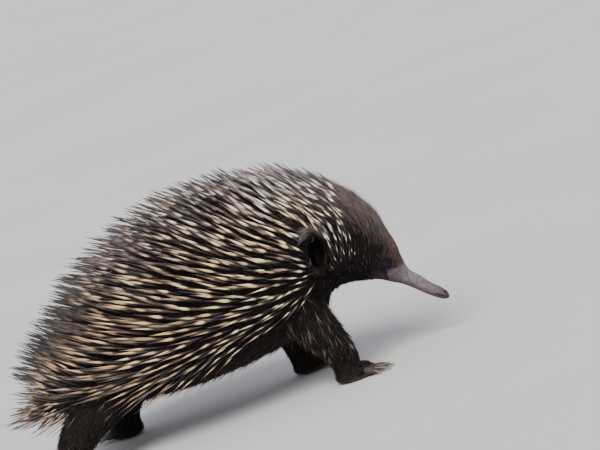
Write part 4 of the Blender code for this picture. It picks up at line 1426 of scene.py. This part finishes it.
def hair_group():
    """The colour of one hair from its root to its tip."""
    inputs = dict.fromkeys(("Along", "Shade", "Warm", "Rust"), "Float")
    inputs |= dict.fromkeys(("Root", "Dark", "Brown", "Pale"), "Color")
    group, given, put = new_group("hair_colour", inputs, {"Colour": "Color"})
    warm = worked(group, "MULTIPLY_ADD", given["Shade"], 0.85, -0.50)
    warm = worked(group, "ADD", warm, given["Warm"], clamp=True)
    rusty = blend(group, given["Rust"], given["Brown"], (0.128, 0.080, 0.066))
    fur = blend(group, warm, given["Dark"], rusty)
    pale = worked(group, "SUBTRACT", given["Warm"], 1.0, clamp=True)
    fur = blend(group, times(group, pale, 1.7, clamp=True), fur, given["Pale"])
    start = times(group, given["Along"], 1.6, clamp=True)
    group.links.new(blend(group, start, given["Root"], fur), put["Colour"])
    return group


def new_look(name, **values):
    made = bpy.data.materials.new(name)
    made.use_nodes = True
    shader = made.node_tree.nodes["Principled BSDF"]
    feed(made.node_tree, shader, **values)
    return made, made.node_tree, shader


def feed(tree, shader, **values):
    """Gives the shader's inputs sockets or values, by their names."""
    for name, value in values.items():
        give(tree, shader, name.replace("_", " "), value)


def mottled(tree, mottle, patch_scale, grain_scale):
    inputs = {"Vector": here(tree), "Patch Scale": patch_scale, "Grain Scale": grain_scale}
    node = add(tree, "ShaderNodeGroup", node_tree=mottle)
    for name, value in inputs.items():
        give(tree, node, name, value)
    return node.outputs


def bump(tree, shader, height, strength, distance):
    node = add(tree, "ShaderNodeBump", {"Strength": strength, "Distance": distance, "Height": height})
    feed(tree, shader, Normal=node.outputs["Normal"])


def beak_colour(tree, mottle, patches, grain):
    """Mottled lilac grey, darker at the tip, with painted shade underneath, and painted shade, nearly black,
    in the nostrils, the mouth's line and the folds.
    """
    beak = ramp(
        tree, patches, (0.3, (0.078, 0.052, 0.058)), (0.5, (0.130, 0.102, 0.109)),
        (0.7, (0.205, 0.172, 0.180)),
    )
    beak = blend(tree, 0.35, beak, ramp(tree, grain, (0.0, (0.06, 0.042, 0.046)), (0.5, (0.24, 0.19, 0.205))))
    broad = mottled(tree, mottle, 260.0, 500.0)["Patches"]
    tint = ramp(tree, broad, (0.34, (0.62, 0.52, 0.66)), (0.5, 1.0), (0.66, (1.28, 1.26, 1.14)))
    beak = blend(tree, 0.75, beak, tint, "MULTIPLY")
    beak = blend(tree, times(tree, attribute(tree, "tip_share"), 0.86), beak, (0.052, 0.042, 0.049))
    # Painted shade: the beak darkens towards its underside.
    beak = blend(tree, times(tree, attribute(tree, "under"), 0.75), beak, (0.045, 0.030, 0.034))
    # Painted shade: nearly black in the nostrils, the mouth's line and the folds.
    return blend(tree, attribute(tree, "recess_shade"), beak, (0.008, 0.006, 0.007))


def skin_look(mottle):
    """Bare lilac-grey skin on the beak, blue-grey round the eyes, near black under the fur, with painted
    shade, near black, in and round the ear openings.
    """
    made, tree, shader = new_look("beak_and_body_skin")
    fine = mottled(tree, mottle, 90.0, 1100.0)
    patches, grain = fine["Patches"], fine["Grain"]
    beak_share, eye_near = attribute(tree, "beak_share"), attribute(tree, "eye_near")
    cheek = ramp(tree, patches, (0.3, (0.007, 0.003, 0.0025)), (0.7, (0.019, 0.009, 0.0075)))
    cheek = blend(tree, attribute(tree, "flushed"), cheek, (0.050, 0.027, 0.026))
    blue = ramp(tree, patches, (0.3, (0.004, 0.005, 0.008)), (0.7, (0.013, 0.015, 0.023)))
    dark = ramp(tree, patches, (0.3, (0.012, 0.008, 0.007)), (0.7, (0.028, 0.018, 0.015)))
    colour = blend(tree, beak_share, cheek, beak_colour(tree, mottle, patches, grain))
    colour = blend(tree, eye_near, colour, blue)
    colour = blend(tree, attribute(tree, "furred"), colour, dark)
    colour = blend(tree, times(tree, eye_near, 0.85), colour, blue)
    # Painted shade: near black in and round the ear openings.
    colour = blend(tree, attribute(tree, "ear_hollow_shade"), colour, (0.0012, 0.001, 0.001))
    rough = ranged(tree, patches, 0.3, 0.7, 0.42, 0.62)
    shine = ramp(tree, beak_share, (0.0, 0.05), (1.0, 0.30))
    feed(tree, shader, Base_Color=colour, Roughness=rough, Specular_IOR_Level=shine)
    bump(tree, shader, worked(tree, "ADD", grain, fine["Creases"]), 0.45, 0.0005)
    return made


def paw_look(mottle):
    made, tree, shader = new_look("paw_skin", Roughness=0.6)
    fine, low = mottled(tree, mottle, 120.0, 700.0), attribute(tree, "low")
    colour = ramp(tree, fine["Patches"], (0.3, (0.022, 0.016, 0.014)), (0.7, (0.055, 0.040, 0.035)))
    worn = ramp(tree, fine["Grain"], (0.0, (0.014, 0.010, 0.009)), (0.6, (0.070, 0.054, 0.047)))
    colour = blend(tree, low, (0.008, 0.006, 0.005), blend(tree, 0.45, colour, worn))
    feed(tree, shader, Base_Color=colour, Specular_IOR_Level=ramp(tree, low, (0.0, 0.06), (1.0, 0.35)))
    bump(tree, shader, worked(tree, "ADD", fine["Grain"], fine["Creases"]), 0.7, 0.0008)
    return made


def band_colour(tree, place, own, sky_sheen):
    """The colour of a spine's band: cream, tan behind, ochre where shaded, and a painted lilac-grey sheen of
    the sky on the crown and the back's top.
    """
    cream = ramp(
        tree, place, (0.0, (0.98, 0.90, 0.76)), (0.25, (0.99, 0.84, 0.58)), (0.7, (0.84, 0.61, 0.35)),
        (1.0, (0.62, 0.42, 0.27)),
    )
    cream = blend(tree, 1.0, cream, ramp(tree, own, (0.25, 1.0), (0.9, (1.0, 0.90, 0.66))), "MULTIPLY")
    # Painted sheen: cream and ochre turn lilac grey on the crown and the back's top.
    cream = blend(tree, times(tree, sky_sheen, 0.62), cream, (0.82, 0.75, 0.75))
    ochre = ramp(tree, place, (0, (0.21, 0.14, 0.10)), (0.6, (0.115, 0.07, 0.05)), (1, (0.10, 0.06, 0.044)))
    ochre = blend(tree, sky_sheen, ochre, (0.140, 0.116, 0.128))
    shaded = ramp(tree, attribute(tree, "shade"), (0.0, 0.0), (0.35, 0.10), (0.65, 0.50), (1.0, 0.97))
    return blend(tree, shaded, cream, ochre)


def tip_colour(tree, place, own, high):
    """The near black of a spine's root and tip, with a painted sheen: lighter towards the front, and grey on
    the crown and the back's top.
    """
    dark = ramp(
        tree, own, (0, (0.013, 0.011, 0.012)), (0.7, (0.028, 0.023, 0.024)), (1, (0.06, 0.041, 0.032))
    )
    # Painted sheen: the tips are lighter towards the front and grey on the crown and the back's top.
    front_sheen = ramp(tree, place, (0.0, 1.2), (0.25, (1.9, 1.75, 1.7)), (0.6, (1.6, 1.5, 1.5)), (0.85, 1.0))
    grey_sheen = ramp(tree, own, (0, (0.05, 0.047, 0.057)), (0.6, (0.12, 0.108, 0.118)), (1, (0.23, 0.205, 0.215)))
    dark = blend(tree, 1.0, dark, front_sheen, "MULTIPLY")
    return blend(tree, ramp(tree, high, (0.0, 0.03), (0.3, 0.10), (1.0, 0.75)), dark, grey_sheen)


def spine_look():
    """Cream horn between a dark root in the fur and a long dark tip, paler on the crown, partly from a
    painted sheen, and tan behind.
    """
    made, tree, shader = new_look("spine_horn", Specular_IOR_Level=0.6)
    place, own, high, side = (attribute(tree, name) for name in ("place", "own", "high", "side"))
    band = worked(tree, "SUBTRACT", attribute(tree, "along"), attribute(tree, "band"))
    band = worked(tree, "DIVIDE", band, attribute(tree, "reach"))
    side = times(tree, side, side)
    late = worked(tree, "SUBTRACT", band, times(tree, side, 0.09))
    early = worked(tree, "ADD", band, times(tree, side, 0.12))
    cream = band_colour(tree, place, own, ramp(tree, high, (0.0, 0.0), (0.3, 0.65), (1.0, 0.9)))
    rim = ramp(
        tree, band, (0.0, (0.30, 0.15, 0.08)), (0.05, (0.62, 0.45, 0.30)), (0.11, 1.0), (0.24, 1.0),
        (0.33, (0.62, 0.50, 0.42)), (0.42, (0.26, 0.16, 0.12)),
    )
    starts, ends = ramp(tree, late, (0.0, 0.0), (0.08, 1.0)), ramp(tree, early, (0.24, 1.0), (0.46, 0.0))
    cream = blend(tree, 1.0, cream, rim, "MULTIPLY")
    in_band = blend(tree, 1.0, starts, ends, "MULTIPLY")
    colour = blend(tree, in_band, tip_colour(tree, place, own, high), cream)
    feed(tree, shader, Base_Color=colour, Roughness=ranged(tree, band, 0.2, 0.42, 0.34, 0.27))
    bump(tree, shader, noise(tree, here(tree), 1400.0), 0.2, 0.0002)
    return made


def fur_look(name, hair, root, dark, brown, pale):
    made, tree, shader = new_look(name, Roughness=0.55, Specular_IOR_Level=0.14)
    node = add(tree, "ShaderNodeGroup", node_tree=hair)
    for key in ("Along", "Shade", "Warm", "Rust"):
        give(tree, node, key, attribute(tree, key.lower()))
    for key, colour in (("Root", root), ("Dark", dark), ("Brown", brown), ("Pale", pale)):
        give(tree, node, key, rgba(colour))
    feed(tree, shader, Base_Color=node.outputs[0])
    bump(tree, shader, noise(tree, here(tree), 2200.0), 0.25, 0.0002)
    return made


def eye_look():
    made, tree, shader = new_look(
        "eye_wet", Roughness=0.10, Coat_Weight=0.06, Coat_Roughness=0.02, Specular_IOR_Level=0.12
    )
    feed(tree, shader, Base_Color=ramp(
        tree, attribute(tree, "facing"), (0.0, (0.02, 0.02, 0.025)), (0.62, (0.007, 0.007, 0.010)),
        (0.90, (0.004, 0.004, 0.006)), (0.95, (0.001, 0.001, 0.002)),
    ))
    return made


def claw_look():
    made, tree, shader = new_look("claw_horn", Roughness=0.38)
    streak = noise(tree, here(tree), 420.0, 3.0)
    colour = ramp(
        tree, attribute(tree, "along"), (0.0, (0.030, 0.022, 0.018)), (0.45, (0.060, 0.044, 0.034)),
        (0.85, (0.170, 0.130, 0.095)), (1.0, (0.260, 0.205, 0.150)),
    )
    worn = ramp(tree, streak, (0.35, 0.6), (0.65, (1.15, 1.1, 1.05)))
    feed(tree, shader, Base_Color=blend(tree, 1.0, colour, worn, "MULTIPLY"))
    bump(tree, shader, streak, 0.35, 0.0005)
    return made


def floor_look(mottle):
    made, tree, shader = new_look("pale_floor", Roughness=0.85)
    patches = mottled(tree, mottle, 2.0, 60.0)["Patches"]
    feed(tree, shader, Base_Color=ramp(tree, patches, (0.3, (0.50, 0.50, 0.495)), (0.7, (0.53, 0.53, 0.525))))
    return made


# Stage and camera

CAMERA_ROLL, CAMERA_HEIGHT = math.radians(20), math.radians(8)
CAMERA_DISTANCE, LENS = 3.17, 200.2
# From the right eye to the picture's middle: how far left and up across the view, in metres.
VIEW_LEFT, VIEW_UP = 0.0812, 0.038
FLOOR_SIZE = 60
SKY_COLOUR, SKY_STRENGTH = (0.90, 0.92, 1.0), 0.85
# The suns: strength, how wide in degrees, how they are turned, and colour.
SUNS = {
    "key": (4.2, 36, (38, -22, 10), (1.0, 0.97, 0.92)),
    "fill": (0.8, 70, (55, 35, -30), (0.92, 0.96, 1.0)),
}


def make_camera():
    """The photograph's view of the animal's right side, rolled so that its head is the higher end."""
    ahead = Vector((0, math.cos(CAMERA_HEIGHT), -math.sin(CAMERA_HEIGHT)))
    level_up = Vector((0, math.sin(CAMERA_HEIGHT), math.cos(CAMERA_HEIGHT)))
    right = Vector((math.cos(CAMERA_ROLL), 0, 0)) - level_up * math.sin(CAMERA_ROLL)
    up = Vector((math.sin(CAMERA_ROLL), 0, 0)) + level_up * math.cos(CAMERA_ROLL)
    low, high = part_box("eye_right")
    middle = (low + high) / 2 - right * VIEW_LEFT + up * VIEW_UP
    data = bpy.data.cameras.new("camera")
    data.sensor_width, data.lens = 36.0, LENS
    data.clip_start, data.clip_end = 0.05, 200.0
    camera = bpy.data.objects.new("camera", data)
    bpy.context.scene.collection.objects.link(camera)
    turn = Matrix((right, up, -ahead)).transposed().to_4x4()
    camera.matrix_world = Matrix.Translation(middle - ahead * CAMERA_DISTANCE) @ turn
    bpy.context.scene.camera = camera


def make_stage(mottle):
    bpy.ops.object.select_all(action="DESELECT")
    bpy.ops.mesh.primitive_grid_add(x_subdivisions=8, y_subdivisions=8, size=FLOOR_SIZE, location=(0, 0, 0))
    floor = bpy.context.object
    floor.name = "floor"
    floor.data.materials.append(floor_look(mottle))
    world = bpy.data.worlds.new("studio")
    bpy.context.scene.world = world
    world.use_nodes = True
    sky = world.node_tree.nodes["Background"]
    sky.inputs["Color"].default_value = (*SKY_COLOUR, 1)
    sky.inputs["Strength"].default_value = SKY_STRENGTH
    for name, (strength, size, turn, colour) in SUNS.items():
        data = bpy.data.lights.new(name, "SUN")
        data.energy, data.angle, data.color = strength, math.radians(size), colour
        lamp = bpy.data.objects.new(name, data)
        bpy.context.scene.collection.objects.link(lamp)
        lamp.rotation_euler = [math.radians(a) for a in turn]


# Assembly


# The colours of the fur: root, dark, brown and pale.
FURS = {
    "face_hair": ((0.003, 0.002, 0.002), (0.004, 0.003, 0.003), (0.162, 0.117, 0.108), (0.36, 0.29, 0.27)),
    "under_hair": ((0.008, 0.006, 0.006), (0.014, 0.010, 0.010), (0.062, 0.043, 0.038), (0.40, 0.30, 0.20)),
    "leg_hair": ((0.004, 0.003, 0.003), (0.008, 0.006, 0.0055), (0.082, 0.057, 0.047), (0.36, 0.28, 0.20)),
}
# How many tufts are tried: on the whole, and for leg and paw fur on each leg.
TUFTS = {"under": 33000, "face": 34000, "belly": 11000, "leg": 3800, "brow": 3600, "paw": 2300}
# Forms as places along them and widths there.
CLAW = (
    (-0.12, 0.9), (0.0, 1.0), (0.2, 1.0), (0.4, 0.92), (0.6, 0.78), (0.78, 0.58), (0.92, 0.32), (1.0, 0)
)
QUILL = (
    (-0.04, 0.5), (0.18, 0.58), (0.32, 0.84), (0.42, 1.0), (0.53, 0.9), (0.66, 0.58), (0.81, 0.38),
    (0.93, 0.2), (1.0, 0),
)
SHORT_HAIR = ((-0.05, 0.7), (0.45, 1.0), (1.0, 0))
LONG_HAIR = ((-0.05, 0.7), (0.35, 1.0), (0.72, 0.62), (1.0, 0))
# The flat patch of one spine on the unwrap.
QUILL_PATCH = (0.003, 0.009)


def grow_spines(look):
    quill = form("spine_form", 7, QUILL)
    front = together(*(spine_places(*zone) for zone in FRONT_SPINES))
    rear = together(*(spine_places(*zone) for zone in REAR_SPINES), tail_spine_places())
    strewn("spines_head", quill, front, look, patch=QUILL_PATCH)
    strewn("spines_back", quill, rear, look, patch=QUILL_PATCH)


def grow_fur(looks):
    short, long = form("short_hair", 3, SHORT_HAIR), form("long_hair", 3, LONG_HAIR)
    face, under, leg_look = (looks[name] for name in FURS)
    tufts = {name: int(count * (1.0)) for name, count in TUFTS.items()}
    places = under_fur(tufts["under"])
    cut = len(places["root"]) // 3
    for number in range(3):
        part = picked(places, slice(number * cut, (number + 1) * cut))
        strewn(f"under_fur_{number}", long, part, under)
    places = face_fur(tufts["face"])
    cut = len(places["root"]) // 2
    for number, part in enumerate((slice(0, cut), slice(cut, None))):
        strewn(f"face_fur_{number}", short, picked(places, part), face)
    strewn("belly_fur", short, belly_fur(tufts["belly"]), leg_look)
    strewn("leg_fur", short, leg_fur(tufts["leg"]), leg_look)
    strewn("brow_strands", long, brow_strands(tufts["brow"]), face)
    strewn("paw_fur", short, paw_fur(tufts["paw"]), leg_look)
    strewn("ear_fringe", long, ear_fringe(), face)


def main():
    mottle, hair = mottle_group(), hair_group()
    looks = {"skin": skin_look(mottle), "paw": paw_look(mottle)}
    looks |= {name: fur_look(name, hair, *colours) for name, colours in FURS.items()}
    make_camera()
    make_stage(mottle)

    skin = make_skin(looks)
    settle_piece(skin)
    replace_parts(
        skin, "beak", "head", "neck", "torso", "tail", "foreleg_right", "foreleg_left", "hindleg_right",
        "hindleg_left", "forefoot_right", "forefoot_left", "hindfoot_right", "hindfoot_left", "ear_right",
        "ear_left",
    )
    wet, horn = eye_look(), claw_look()
    for side in SIDES:
        make_eye(side, wet)
    claw = form("claw_form", 10, CLAW)
    for name in STANCE:
        make_claws(name, claw, horn)
    grow_spines(spine_look())
    grow_fur(looks)


main()
